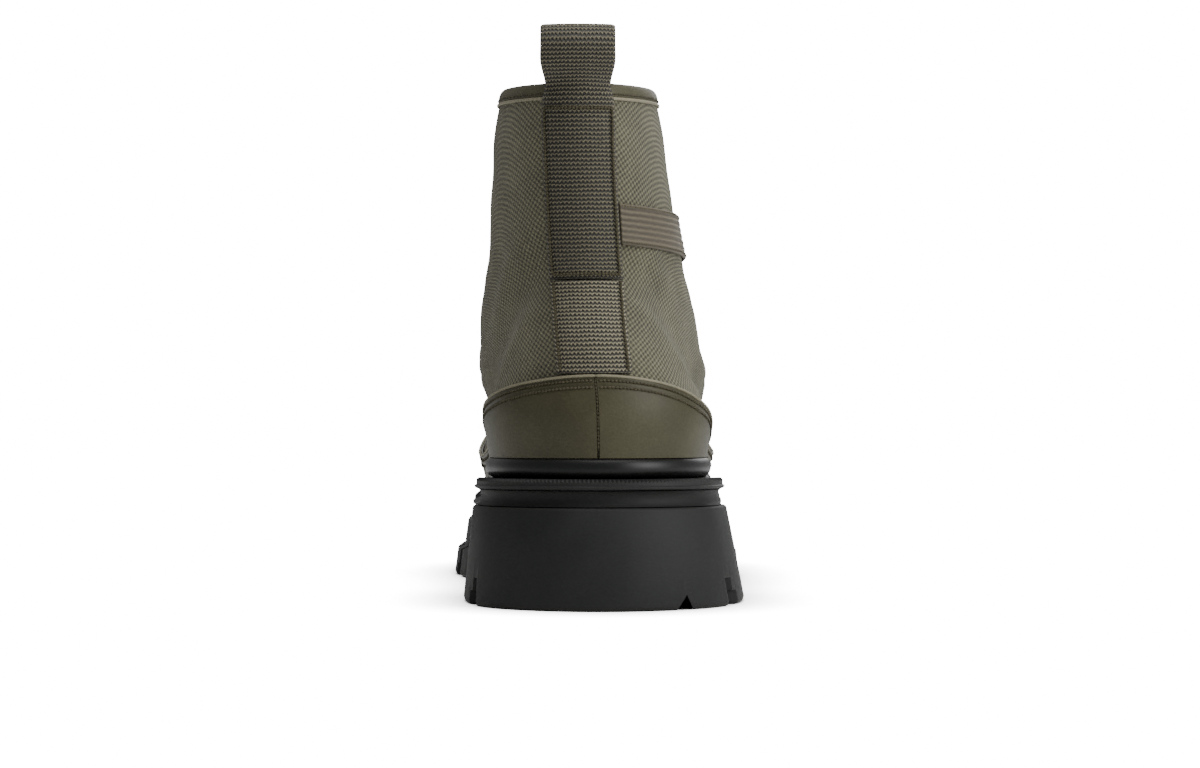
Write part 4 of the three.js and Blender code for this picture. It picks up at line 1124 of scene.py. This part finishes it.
def pull_loop_stations():
    low = row_at_back(COLLAR_BACK - WEBBING_JOINT_DROP + SEAT_GAP)
    stations = [skin_station(mix(low, COLLAR_ROW, part), 1) for part in (0, 0.12, 0.25, 0.5, 0.75, 0.97)]
    inner_end = row_at_back(upper_point(COLLAR_ROW, 0).z - LOOP_INSIDE)
    collar = upper_point(COLLAR_ROW, 0)
    outside = collar.y - SKIN_GAP
    inside = collar.y + WALL + SKIN_GAP + BINDING_THICKNESS * 0.5
    binding_top = collar.z + BINDING_HEIGHT
    crown = (outside - LOOP_REACH + inside) / 2
    radius = (inside - outside + LOOP_REACH) / 2
    low_arch = collar.z + LOOP_RISE - radius - WEBBING_THICKNESS
    arch = [(outside - SEAT_GAP, binding_top, (-1, 0), 1),
            (outside - LOOP_REACH * 0.75, mix(binding_top, low_arch, 0.55), (-1, 0), 0.4)]
    for angle in spread(0, PI, 7):
        out = (-math.cos(angle), math.sin(angle))
        arch.append((crown + radius * out[0], low_arch + radius * out[1], out, 0.4))
    arch.append((inside + SEAT_GAP, mix(binding_top, low_arch, 0.3), (1, 0), 1))

    def arch_station(y, z, out, curve):
        def station(across):
            edge = upper_point(COLLAR_ROW, strap_turn(COLLAR_ROW, across))
            x = mix(edge.x, collar.x + WEBBING_WIDTH / 2 * LOOP_SPREAD * across, 1 - curve)
            return Vector((x, y + (edge.y - collar.y) * curve, z)), Vector((0, out[0], out[1]))

        return station

    stations += [arch_station(*row) for row in arch]
    return stations + [skin_station(mix(inner_end, COLLAR_ROW, part), -1) for part in (0.97, 0.5, 0)]


def webbing_piece(name, strap, length, step):
    columns = spread(-1, 1, 66)
    places = [(across, 1) for across in columns] + [(across, 0) for across in reversed(columns)]

    def point(s, place):
        across, face = place
        base, out = strap(s, across)
        relief = webbing_relief(across * WEBBING_WIDTH / 2, s, across)
        lift = WEBBING_THICKNESS - RIB_DEPTH * 0.3 + relief if face else max(0.0, 0.15 - relief * 0.4)
        return base + out * lift

    rounds = spread(0, length, int(length / step) + 1)
    return swept(name, rounds, places, point,
                 lambda s, place: (place[0] * WEBBING_WIDTH / 2, s), ends=True)


class BOOT_OT_webbing(bpy.types.Operator):
    """Back strap and pull loop, woven in ribs"""

    bl_idname = "boot.webbing"
    bl_label = "Back strap and pull loop"

    def execute(self, context):
        lower, lower_length = strap_between(backstay_stations())
        backstay = webbing_piece("backstay_dressed", lower, lower_length, 0.34)
        finish_piece(backstay, [MATERIALS["webbing_light"]], ["backstay"])
        upper, upper_length = strap_between(pull_loop_stations())
        loop = webbing_piece("pull_loop_dressed", upper, upper_length, 0.36)
        finish_piece(loop, [MATERIALS["webbing"]], ["pull_loop"])
        return {"FINISHED"}


def tape_line():
    def place(along, up):
        level = COLLAR_BACK - TAPE_DROP - TAPE_FALL * along + TAPE_WIDTH * (up - 0.5)
        row = row_at_back(level)
        start = turn_after(row, 0, WEBBING_WIDTH / 2 + 2 * SEAT_GAP)
        end = eyestay_turn(row, EYESTAY_WIDTH + 3 * SEAT_GAP)
        return row, mix(start, end, along)

    return smooth_grid(spread(0, 1, 15), spread(0, 1, 5), place)


TAPE_RIBS = 7


class BOOT_OT_side_tape(bpy.types.Operator):
    """Ribbed tape on the lateral side, bare of any lettering"""

    bl_idname = "boot.side_tape"
    bl_label = "Side tape"

    def execute(self, context):
        line = tape_line()
        outer = []
        for up in spread(0, 1, 85):
            rib = abs(math.sin(PI * TAPE_RIBS * up)) ** 0.6
            outer.append((up, 0.38 * rib - 0.38 - 0.35 * (abs(2 * up - 1) ** 30)))
        profile = wall_profile(outer, SKIN_GAP, TAPE_THICKNESS + 0.3)
        tape = overlay("side_tape_dressed", spread(0, 1, 200), profile, line,
                       lambda along, place: (along * 118, place[0] * TAPE_WIDTH))
        finish_piece(tape, [MATERIALS["tape"]], ["side_tape"])
        return {"FINISHED"}


# Collar binding: offset from the wall's face, outward, and height over the collar row
BINDING_PROFILE = (
    (-0.05, -0.5), (0.32, 0.2), (0.38, 1.2), (0.2, 2.4), (-0.3, 3.6), (-1.1, 4.35), (-2.0, 4.4), (-2.9, 3.8),
    (-3.3, 2.8), (-3.35, 1.2), (-3.2, -0.6), (-2.4, -0.6), (-0.9, -0.5),
)


class BOOT_OT_collar(bpy.types.Operator):
    """Padded collar binding with its piping"""

    bl_idname = "boot.collar"
    bl_label = "Collar binding"

    def execute(self, context):
        edge = throat_edge(COLLAR_ROW) - 0.004

        def roll(profile):
            def point(share, place):
                out, up = profile[int(place)]
                turn = share * edge
                spot = upper_point(COLLAR_ROW, turn) + level_normal(COLLAR_ROW, turn) * out
                spot.z += up
                return spot

            return point

        count = len(BINDING_PROFILE)
        dense = []
        table = [(index, *BINDING_PROFILE[index % count]) for index in range(count + 1)]
        for place in spread(0, count, 3 * count + 1)[:-1]:
            dense.append((look_up(table, 1, place), look_up(table, 2, place)))
        binding = swept("collar_binding_dressed", spread(-1, 1, 201), list(range(len(dense))), roll(dense), ends=True)
        sharpen(binding, 60)
        finish_piece(binding, [MATERIALS["binding"]], ["collar_binding"])
        cord = [(0.5 + 0.55 * math.cos(a), -0.75 + 0.55 * math.sin(a)) for a in spread(0, 2 * PI, 11)[:-1]]
        piping = swept("collar_piping", spread(-1, 1, 201), list(range(10)), roll(cord), ends=True)
        finish_piece(piping, [MATERIALS["piping"]])
        return {"FINISHED"}


TONGUE_DEPTH = WALL + SKIN_GAP + SEAT_GAP + BINDING_INSET


class BOOT_OT_tongue(bpy.types.Operator):
    """Padded tongue with rounded edges"""

    bl_idname = "boot.tongue"
    bl_label = "Tongue"

    def execute(self, context):
        def coarse(part, row_place):
            row = min(row_place, COLLAR_ROW)
            narrow = 0.62 if row_place < THROAT_ROW else min(0.72 + 0.07 * (row - THROAT_ROW), 1)
            turn = turn_after(row, 1, part * narrow * TONGUE_WIDTH / 2)
            normal = level_normal(row, turn) if row == COLLAR_ROW else upper_normal(row, turn)
            point = upper_point(row, turn) - normal * TONGUE_DEPTH
            point.z += (row_place - row) * (TONGUE_RISE + BINDING_HEIGHT - TONGUE_TIP_ROUNDING * part * part)
            return (*point, *(-normal))

        grid = smooth_grid(spread(-1, 1, 9), [5.3, 6, 7, 8, 9, 10, 11, 12, 13, 14], coarse)

        def point(part, place):
            row, deep = place
            values = grid(part, row)
            edge = max(abs(part) ** 10, ease((row - 13.75) / 0.25) ** 2, ease((5.5 - row) / 0.2))
            pad = TONGUE_THICKNESS * (deep + (0.5 - deep) * 0.85 * edge)
            puff = 0.5 * math.cos(part * PI / 2) ** 2 * bump_of((row % 1.55) - 0.78, 0.78) * (1 - 2 * deep)
            return Vector(values[:3]) + Vector(values[3:]).normalized() * (pad - 0.4 * puff)

        rows = spread(5.3, 14, 110)
        places = [(row, 0) for row in rows] + [(row, 1) for row in reversed(rows)]
        tongue = swept("tongue_dressed", spread(-1, 1, 49), places, point,
                       lambda part, place: (part * TONGUE_WIDTH / 2, place[0] * 14), ends=True)
        finish_piece(tongue, [MATERIALS["tongue"]], ["tongue"])
        return {"FINISHED"}


@lru_cache(maxsize=None)
def eyestay_lines():
    rows = [6.15, 6.4, 6.7, 7, 7.5, 8, 8.5, 9, 9.5, 10, 10.5, 11, 11.5, 12, 12.5, 12.97]
    return smooth_grid(rows, spread(0, 1, 5), lambda row, across: (eyestay_turn(row, EYESTAY_WIDTH * across),))


class BOOT_OT_eyestays(bpy.types.Operator):
    """Coated eyestays along the throat, with their eyelet holes"""

    bl_idname = "boot.eyestays"
    bl_label = "Eyestays"

    def execute(self, context):
        lines = eyestay_lines()
        outer = [(0, -0.6), (0.012, -0.2), (0.03, 0.0)] + [(a, 0.0) for a in spread(0.08, 0.92, 18)]
        outer += [(0.97, 0.0), (0.988, -0.2), (1, -0.6)]
        profile = wall_profile(outer, SKIN_GAP, EYESTAY_THICKNESS)
        for side, word in ((1, "lateral"), (-1, "medial")):
            stay = overlay(f"eyestay_{word}_dressed", spread(6.15, 12.97, 150), profile,
                           lambda row, across, side=side: (row, side * lines(row, across)[0]))
            bars = hole_cutters(-WALL, 5, EYELET_BORE + EYELET_WALL + 0.1)
            keep = bars[0] if side > 0 else bars[1]
            spare = bars[1] if side > 0 else bars[0]
            bpy.data.objects.remove(spare)
            cut(stay, [keep])
            sharpen(stay, 50)
            finish_piece(stay, [MATERIALS["eyestay"]], [f"eyestay_{word}"])
        return {"FINISHED"}


EYELET_SEAT = SKIN_GAP + EYESTAY_THICKNESS + 0.05


class BOOT_OT_eyelets(bpy.types.Operator):
    """Rolled metal eyelets, six a side"""

    bl_idname = "boot.eyelets"
    bl_label = "Eyelets"

    def execute(self, context):
        bore, barrel, rim = EYELET_BORE, EYELET_BORE + EYELET_WALL, EYELET_RADIUS
        top = EYELET_SEAT + EYELET_FLANGE
        profile = [(barrel, -WALL - 0.4), (barrel, EYELET_SEAT), (rim, EYELET_SEAT), (rim + 0.05, EYELET_SEAT + 0.25),
                   (rim - 0.25, top - 0.15), (rim - 0.8, top + 0.1), (bore + 0.7, top + 0.12), (bore + 0.2, top - 0.1),
                   (bore, EYELET_SEAT + 0.1), (bore, -WALL - 0.4)]
        for side, word in ((1, "lateral"), (-1, "medial")):
            bm = bmesh.new()
            for row, turn in eyelet_seats(side):
                ring = [bm.verts.new((radius * MM, 0, height * MM)) for radius, height in profile]
                lines = [bm.edges.new(pair) for pair in zip(ring, ring[1:] + ring[:1])]
                spun = bmesh.ops.spin(bm, geom=ring + lines, axis=(0, 0, 1), cent=(0, 0, 0), angle=2 * PI,
                                      steps=28, use_merge=True)
                made = {vert for item in spun["geom_last"] for vert in ([item] if isinstance(item, bmesh.types.BMVert) else [])}
                turned = connected(made | set(ring))
                place = Matrix.Translation(to_frame(upper_point(row, turn)))
                place = place @ upper_normal(row, turn).to_track_quat("Z", "Y").to_matrix().to_4x4()
                bmesh.ops.transform(bm, matrix=place, verts=turned)
            bmesh.ops.recalc_face_normals(bm, faces=bm.faces)
            piece = piece_from(f"eyelets_{word}_dressed", bm)
            sharpen(piece, 55)
            finish_piece(piece, [MATERIALS["eyelet"]],
                         [f"eyelet_{word}_{n + 1}" for n in range(EYELET_COUNT)])
        return {"FINISHED"}


def connected(verts):
    """All vertices joined to these by edges."""
    found, front = set(verts), list(verts)
    while front:
        vert = front.pop()
        for edge in vert.link_edges:
            other = edge.other_vert(vert)
            if other not in found:
                found.add(other)
                front.append(other)
    return list(found)


# Lace


def lace_controls(side):
    """One strand: from the bar under the first eyelet, across and across, to the top eyelet."""
    rows = eyelet_rows()
    over, under = 1.3, -1.1
    points = []

    def at(row, distance, height):
        return upper_skin(row, turn_after(row, 1, distance) if abs(distance) > 1e-6 else 1.0, height)

    seat = EYELET_SEAT + EYELET_FLANGE
    here = side
    low = LACE_RADIUS + 2 * SEAT_GAP - TONGUE_DEPTH
    reach = throat_half(rows[0])
    points += [at(rows[0], -here * reach * 0.5, low), at(rows[0], -here * (reach + 2.5), -WALL - LACE_RADIUS)]
    for pair, row in enumerate(rows):
        far = throat_half(row) + EYELET_INSET
        points += [at(row, -here * (far - 0.4), -WALL - LACE_RADIUS * 0.6), at(row, -here * far, 0.5)]
        if pair == EYELET_COUNT - 1:
            points.append(at(row, -here * far, seat - 0.2))
            break
        above = rows[pair + 1]
        points += [at(row + 0.01, -here * (far - 0.3), seat + 0.6), at(mix(row, above, 0.1), -here * (far - 3.4), seat + 1.9)]
        lift = over if (pair + (side > 0)) % 2 else under
        for part, share in ((0.3, 0.35), (0.5, 1.0), (0.7, 0.35)):
            line = mix(far - 3.4, -(throat_half(above) - 2), part)
            height = mix(seat + 1.6, low + 0.8, part ** 1.9) + lift * share
            points.append(at(mix(row, above, 0.1 + 0.72 * part), -here * line, height))
        points.append(at(mix(row, above, 0.84), here * (throat_half(above) + 0.3), -WALL - LACE_RADIUS * 0.75))
        points.append(at(mix(row, above, 0.93), here * (throat_half(above) + 4.5), -WALL - LACE_RADIUS))
        here = -here
    return points


def smooth_path(points, step):
    """Evenly spaced points, in millimetres, on a smooth curve through the controls."""
    lengths = [0.0]
    for here, there in zip(points, points[1:]):
        lengths.append(lengths[-1] + (there - here).length)
    table = tuple((length, *point) for length, point in zip(lengths, points))
    count = int(lengths[-1] / step) + 1
    return [Vector([look_up(table, c, s) for c in (1, 2, 3)]) for s in spread(0, lengths[-1], count)]


def tube_along(name, path, radius, sides=12):
    """A round cord along a path, its section carried without twist."""
    frames, side = [], None
    for index, point in enumerate(path):
        run = (path[min(index + 1, len(path) - 1)] - path[max(index - 1, 0)]).normalized()
        side = run.orthogonal().normalized() if side is None else (side - run * side.dot(run)).normalized()
        frames.append((point, side, run.cross(side)))
    lengths = [0.0]
    for here, there in zip(path, path[1:]):
        lengths.append(lengths[-1] + (there - here).length)

    def point(index, angle):
        spot, across, up = frames[index]
        end = 0.72 if index in (0, len(path) - 1) else 1.0
        return spot + (across * math.cos(angle) + up * math.sin(angle)) * radius * end

    angles = spread(0, 2 * PI, sides + 1)[:-1]
    piece = swept(name, list(range(len(path))), angles, point,
                  lambda index, angle: (angle * radius, lengths[index]))
    bm = bmesh.new()
    bm.from_mesh(piece.data)
    bmesh.ops.holes_fill(bm, edges=[edge for edge in bm.edges if edge.is_boundary], sides=0)
    bmesh.ops.recalc_face_normals(bm, faces=bm.faces)
    bm.to_mesh(piece.data)
    bm.free()
    return piece


class BOOT_OT_lace(bpy.types.Operator):
    """Round braided lace through the eyelets; both ends stop at the top pair"""

    bl_idname = "boot.lace"
    bl_label = "Lace"

    def execute(self, context):
        controls = list(reversed(lace_controls(-1))) + lace_controls(1)
        path = smooth_path(controls, 0.9)
        lace = tube_along("lace_dressed", path, LACE_RADIUS, 14)
        nodes = ["lace_bar"] + [f"lace_crossing_{n}" for n in range(1, EYELET_COUNT)]
        finish_piece(lace, [MATERIALS["lace"]], nodes)
        return {"FINISHED"}


# Stitching


def stitch_form():
    """One grain-shaped stitch, a unit long each way: its points and faces."""
    bm = bmesh.new()
    bmesh.ops.create_uvsphere(bm, u_segments=6, v_segments=5, radius=1, matrix=Matrix.Rotation(PI / 2, 4, "Y"))
    bm.verts.index_update()
    form = [vert.co.copy() for vert in bm.verts], [[vert.index for vert in face.verts] for face in bm.faces]
    bm.free()
    return form


def stitched(name, lines, thread):
    """Rows of stitches, each with a grain of painted shade for its needle hole after it. A line is
    (path, pitch, width), where path(t) gives a surface point and its normal, in the model's millimetres."""
    form, form_faces = stitch_form()
    points, faces, kinds = [], [], []
    for path, pitch, width in lines:
        samples = [path(t) for t in spread(0, 1, 240)]
        lengths = [0.0]
        for (here, _), (there, _) in zip(samples, samples[1:]):
            lengths.append(lengths[-1] + (there - here).length)
        count = max(int(round(lengths[-1] / pitch)), 1)
        real = lengths[-1] / count
        at = 0
        for step in range(count):
            # The second grain of each stitch is painted shade for the needle hole, in the near-black material.
            for centre, length, height, sunk, index in (
                (step + 0.36, real * 0.28, width * 0.42, 0.04, 0), (step + 0.86, real * 0.24, width * 0.34, 0.1, 1),
            ):
                wanted = min(centre * real, lengths[-1] * 0.9999)
                while lengths[at + 1] < wanted:
                    at += 1
                part = (wanted - lengths[at]) / (lengths[at + 1] - lengths[at])
                (here, normal), (there, _) = samples[at], samples[at + 1]
                run = (there - here).normalized()
                side = normal.cross(run).normalized()
                up = run.cross(side)
                spot = here.lerp(there, part) + up * sunk
                half = width * 0.5 * (1.15 if index else 1)
                first = len(points)
                for corner in form:
                    points.append(to_frame(
                        spot + run * (corner.x * length) + side * (corner.y * half) + up * (corner.z * height)))
                faces += [[first + number for number in face] for face in form_faces]
                kinds += [index] * len(form_faces)
    mesh = bpy.data.meshes.new(name)
    mesh.from_pydata(points, [], faces)
    mesh.polygons.foreach_set("material_index", kinds)
    mesh.shade_smooth()
    mesh.uv_layers.new(name="UVMap")
    piece = bpy.data.objects.new(name, mesh)
    bpy.context.scene.collection.objects.link(piece)
    return finish_piece(piece, [MATERIALS[thread], MATERIALS["needle_hole"]])


def skin_line(rows_turns, height):
    """A stitch line on the upper from a function of t to (row, turn)."""

    def path(t):
        row, turn = rows_turns(t)
        normal = upper_normal(row, turn)
        return upper_point(row, turn) + normal * height, normal

    return path


def foxing_line(side, down, start, end):
    def place(t):
        turn = mix(start, end, t)
        top = foxing_row(side * turn)
        low = top - 1
        height = (upper_point(top, side * turn) - upper_point(low, side * turn)).length
        return top - down / height, side * turn

    return skin_line(place, SKIN_GAP + FOXING_THICKNESS + 0.12)


class BOOT_OT_stitching(bpy.types.Operator):
    """Lockstitch rows on foxing, back seam, strap, tape, collar and eyestays"""

    bl_idname = "boot.stitching"
    bl_label = "Stitching"

    def execute(self, context):
        pitch, width = 2.6, 0.95
        foxing = []
        for side in (1, -1):
            for down in (2.15, 4.45):
                foxing.append((foxing_line(side, down, 0.004, 0.996), pitch, width))
        low = RAND_ROW * (RAND_HEIGHT + 2) / (UPPER_HEIGHT * UPPER_SECTIONS[RAND_ROW][1])
        for side, name in ((1, "foxing_fold_lateral"), (-1, "foxing_fold_medial")):
            fold = foxing_line(side, 0.35, 0.0, 1.0)
            piece = tube_along(name, [fold(t)[0] for t in spread(0, 1, 200)], 0.5, 8)
            finish_piece(piece, [MATERIALS["piping"]])
        seam = skin_line(lambda t: (mix(low, 3.93, t), 0.0), SKIN_GAP + FOXING_THICKNESS - 0.35)
        foxing.append((seam, 2.4, 0.8))
        stitched("foxing_stitches", foxing, "thread")

        rows = []
        lower, lower_length = strap_between(backstay_stations())
        upper, upper_length = strap_between(pull_loop_stations())
        last_outer = (upper_point(COLLAR_ROW, 0) - upper_point(row_at_back(COLLAR_BACK - WEBBING_JOINT_DROP), 0)).length

        def along(strap, start, end, across):
            def path(t):
                base, out = strap(mix(start, end, t), across)
                return base + out * (WEBBING_THICKNESS + 0.3), out

            return path

        def over(strap, s, reach):
            def path(t):
                base, out = strap(s, mix(-reach, reach, t))
                return base + out * (WEBBING_THICKNESS + 0.3), out

            return path

        reach = 1 - 2 * 1.7 / WEBBING_WIDTH
        top_row = last_outer - 4.2
        for across in (-reach, reach):
            rows.append((along(upper, 1.5, top_row, across), 2.5, 1.1))
            rows.append((along(lower, 0.5, lower_length - 0.5, across), 2.5, 1.1))
        rows.append((over(upper, 1.5, reach), 2.5, 1.1))
        rows.append((over(upper, top_row, reach), 2.5, 1.1))
        stitched("strap_stitches", rows, "thread")

        line = tape_line()
        tape = []
        for up in (0.06, 0.94):
            tape.append((skin_line(lambda t, up=up: tuple(line(t, up)), SKIN_GAP + TAPE_THICKNESS + 0.1), 2.5, 0.7))
        stitched("tape_stitches", tape, "thread")

        edge = throat_edge(COLLAR_ROW) - 0.01

        def collar(t):
            turn = mix(-edge, edge, t)
            out = level_normal(COLLAR_ROW, turn)
            spot = upper_point(COLLAR_ROW, turn) + out * 0.42
            spot.z += 0.75
            return spot, out

        stitched("collar_stitches", [(collar, 2.4, 0.6)], "thread")

        lines = eyestay_lines()
        stay = []
        for side in (1, -1):
            for across in (2.0 / EYESTAY_WIDTH, 1 - 4.2 / EYESTAY_WIDTH, 1 - 2.0 / EYESTAY_WIDTH):
                stay.append((skin_line(
                    lambda t, side=side, across=across: (
                        mix(6.2, 12.93, t), side * lines(mix(6.2, 12.93, t), across)[0]),
                    SKIN_GAP + EYESTAY_THICKNESS - 0.05), pitch, width))
        stitched("eyestay_stitches", stay, "thread")
        return {"FINISHED"}


# Stage


def area_light(name, place, target, size, power, colour="#ffffff"):
    data = bpy.data.lights.new(name, "AREA")
    data.shape, data.size, data.size_y, data.energy = "RECTANGLE", size[0], size[1], power
    data.color = linear(colour)[:3]
    light = bpy.data.objects.new(name, data)
    light.location = place
    light.rotation_euler = (Vector(target) - Vector(place)).to_track_quat("-Z", "Y").to_euler()
    bpy.context.scene.collection.objects.link(light)


class BOOT_OT_stage(bpy.types.Operator):
    """Pale floor, soft studio light, and the camera straight behind the heel"""

    bl_idname = "boot.stage"
    bl_label = "Stage, light and camera"

    def execute(self, context):
        sizes = context.scene.boot_sizes
        bm = bmesh.new()
        bmesh.ops.create_grid(bm, x_segments=1, y_segments=1, size=6)
        floor = piece_from("floor", bm)
        material, add, shader, tree = new_material("White studio floor")
        shader.inputs["Base Color"].default_value = linear("#f4f4f3")
        shader.inputs["Roughness"].default_value = 0.9
        # The floor glows for the lens alone, so that it meets the white surround without a horizon
        seen = add("ShaderNodeLightPath").outputs["Is Camera Ray"]
        shader.inputs["Emission Color"].default_value = linear("#ffffff")
        # Ambient occlusion dims the floor's glow next to the boot: a painted contact shadow, seen by the lens alone.
        near = add("ShaderNodeAmbientOcclusion", samples=8, in_Distance=0.03).outputs["AO"]
        glow = maths(add, "MULTIPLY", maths(add, "POWER", near, 4.0), sizes.surround)
        tree.links.new(maths(add, "MULTIPLY", seen, glow), shader.inputs["Emission Strength"])
        floor.data.materials.append(material)

        world = bpy.data.worlds.new("Studio")
        world.use_nodes = True
        nodes, links = world.node_tree.nodes, world.node_tree.links
        nodes["Background"].inputs["Color"].default_value = linear("#ffffff")
        shown = nodes.new("ShaderNodeMath")
        shown.operation = "MULTIPLY_ADD"
        shown.inputs[1].default_value = sizes.surround
        shown.inputs[2].default_value = sizes.ambient
        links.new(nodes.new("ShaderNodeLightPath").outputs["Is Camera Ray"], shown.inputs[0])
        links.new(shown.outputs[0], nodes["Background"].inputs["Strength"])
        context.scene.world = world

        middle = (0.0, -0.05, 0.09)
        area_light("key", (1.2, -0.7, 0.6), middle, (0.8, 0.9), sizes.key)
        area_light("top", (0.1, -0.25, 1.2), middle, (1.0, 1.0), sizes.key * 0.62)
        area_light("front", (0.3, 1.3, 0.7), middle, (1.0, 0.8), sizes.key * 0.4)

        data = bpy.data.cameras.new("camera")
        data.lens, data.sensor_width = sizes.lens, 36
        data.clip_start, data.clip_end = 0.01, 50
        data.dof.use_dof = False
        camera = bpy.data.objects.new("camera", data)
        camera.location = (sizes.camera_side, sizes.camera_back, sizes.camera_height)
        camera.rotation_euler = (PI / 2, 0, sizes.camera_yaw)
        context.scene.collection.objects.link(camera)
        context.scene.camera = camera
        return {"FINISHED"}


class BootSizes(bpy.types.PropertyGroup):
    """Camera and light of the boot's stage"""

    lens: FloatProperty(name="Lens", description="Focal length of the view", default=91.5, unit="CAMERA")
    camera_side: FloatProperty(name="Side", description="Camera's place to the side", default=-0.004, unit="LENGTH")
    camera_back: FloatProperty(name="Back", description="Camera's place behind", default=-1.147, unit="LENGTH")
    camera_height: FloatProperty(name="Height", description="Height of the lens", default=0.0744, unit="LENGTH")
    camera_yaw: FloatProperty(name="Yaw", description="Turn of the view", default=-0.0047, unit="ROTATION")
    key: FloatProperty(name="Key light", description="Power of the main light in watts", default=20, min=0)
    ambient: FloatProperty(name="Ambient", description="Strength of the even light", default=0.4, min=0)
    surround: FloatProperty(name="Surround", description="Brightness of the white behind", default=16, min=0)


MATERIALS = {}


class BOOT_OT_materials(bpy.types.Operator):
    """Cloths, rubbers, thread and metal of the boot"""

    bl_idname = "boot.materials"
    bl_label = "Materials"

    def execute(self, context):
        # The woven cloths' darkest colour is painted shade in the gaps of the weave.
        MATERIALS["canvas"] = woven_cloth(
            "Cotton duck canvas", "#23221a", "#4d4b3a", "#706d58", 1.5, -38, 0.4, 0.9, 0.04)
        MATERIALS["lining"] = woven_cloth(
            "Twill lining", "#1f1d16", "#38352a", "#4a4739", 1.6, 45, 0.12, 0.9, 0.04)
        MATERIALS["tongue"] = woven_cloth(
            "Cotton duck tongue", "#1e1d14", "#4d4b3a", "#716d58", 1.5, -38, 0.35, 0.9, 0.04)
        MATERIALS["footbed"] = woven_cloth(
            "Knitted footbed cover", "#1a1914", "#2d2b23", "#3b382e", 2.0, 0, 0.15, 0.92, 0.04)
        MATERIALS["foxing"] = coated_cloth("Coated fabric", "#2d2b1c", "#393726", "#454230", 0.52, 0.9, 0.05)
        MATERIALS["eyestay"] = coated_cloth("Coated fabric eyestay", "#2d2b1c", "#393726", "#454230", 0.52, 0.9, 0.05)
        MATERIALS["binding"] = coated_cloth("Soft binding leather", "#343123", "#424030", "#504d3c", 0.55, 0.7, 0.06)
        MATERIALS["piping"] = coated_cloth("Piping cord cover", "#5d5a48", "#74705d", "#8a8672", 0.6, 0.7, 0.05)
        MATERIALS["webbing"] = ribbed_webbing(
            "Polyester webbing", "#050403", "#2a271c", "#625d49", RIB_SPACING, BEAD_SPACING, ZIGZAG, 0.45, 0.72)
        MATERIALS["webbing_light"] = ribbed_webbing(
            "Polyester webbing, lower piece", "#070604", "#3a3628", "#817b65", RIB_SPACING, BEAD_SPACING, ZIGZAG,
            0.45, 0.72)
        MATERIALS["tape"] = ribbed_webbing(
            "Grosgrain tape", "#353024", "#484132", "#544d3c", 1.9, 0.9, 0.04, 0.1, 0.7)
        MATERIALS["outsole"] = moulded_rubber("Moulded rubber outsole", "#121212", "#1a1a1a", 0.66, 0.04)
        MATERIALS["midsole"] = moulded_rubber("Moulded rubber midsole", "#0c0c0c", "#121212", 0.66, 0.03)
        MATERIALS["welt"] = moulded_rubber("Moulded rubber welt", "#151515", "#1e1e1e", 0.6, 0.03)
        MATERIALS["rand"] = moulded_rubber("Polished rubber rand", "#080808", "#0e0e0e", 0.42, 0.02)
        MATERIALS["thread"] = twisted_thread("Bonded nylon thread", "#3a3728", "#625d48", 0.6)
        # Near-black painted shade for the needle holes.
        MATERIALS["needle_hole"] = needle_shade("Needle hole shade", "#040403")
        MATERIALS["lace"] = twisted_thread("Braided polyester lace", "#2b281e", "#575240", 1.3)
        MATERIALS["eyelet"] = painted_brass("Lacquered brass", "#3d392c")
        return {"FINISHED"}


OPERATORS = (
    BOOT_OT_materials, BOOT_OT_outsole, BOOT_OT_sole_layers, BOOT_OT_upper, BOOT_OT_foxing, BOOT_OT_webbing,
    BOOT_OT_side_tape, BOOT_OT_collar, BOOT_OT_tongue, BOOT_OT_eyestays, BOOT_OT_eyelets, BOOT_OT_lace,
    BOOT_OT_stitching, BOOT_OT_stage,
)


class BOOT_PT_panel(bpy.types.Panel):
    """Lists the boot's steps in order"""

    bl_idname = "BOOT_PT_panel"
    bl_label = "Outdoor boot"
    bl_space_type = "VIEW_3D"
    bl_region_type = "UI"
    bl_category = "Boot"

    def draw(self, context):
        for name in BootSizes.__annotations__:
            self.layout.prop(context.scene.boot_sizes, name)
        for operator in OPERATORS:
            self.layout.operator(operator.bl_idname)


def register():
    for item in (BootSizes, *OPERATORS, BOOT_PT_panel):
        bpy.utils.register_class(item)
    bpy.types.Scene.boot_sizes = PointerProperty(type=BootSizes)


def unregister():
    del bpy.types.Scene.boot_sizes
    for item in reversed((BootSizes, *OPERATORS, BOOT_PT_panel)):
        bpy.utils.unregister_class(item)


def main():
    register()
    for operator in OPERATORS:
        group, name = operator.bl_idname.split(".")
        getattr(getattr(bpy.ops, group), name)()


if __name__ == "__main__":
    main()
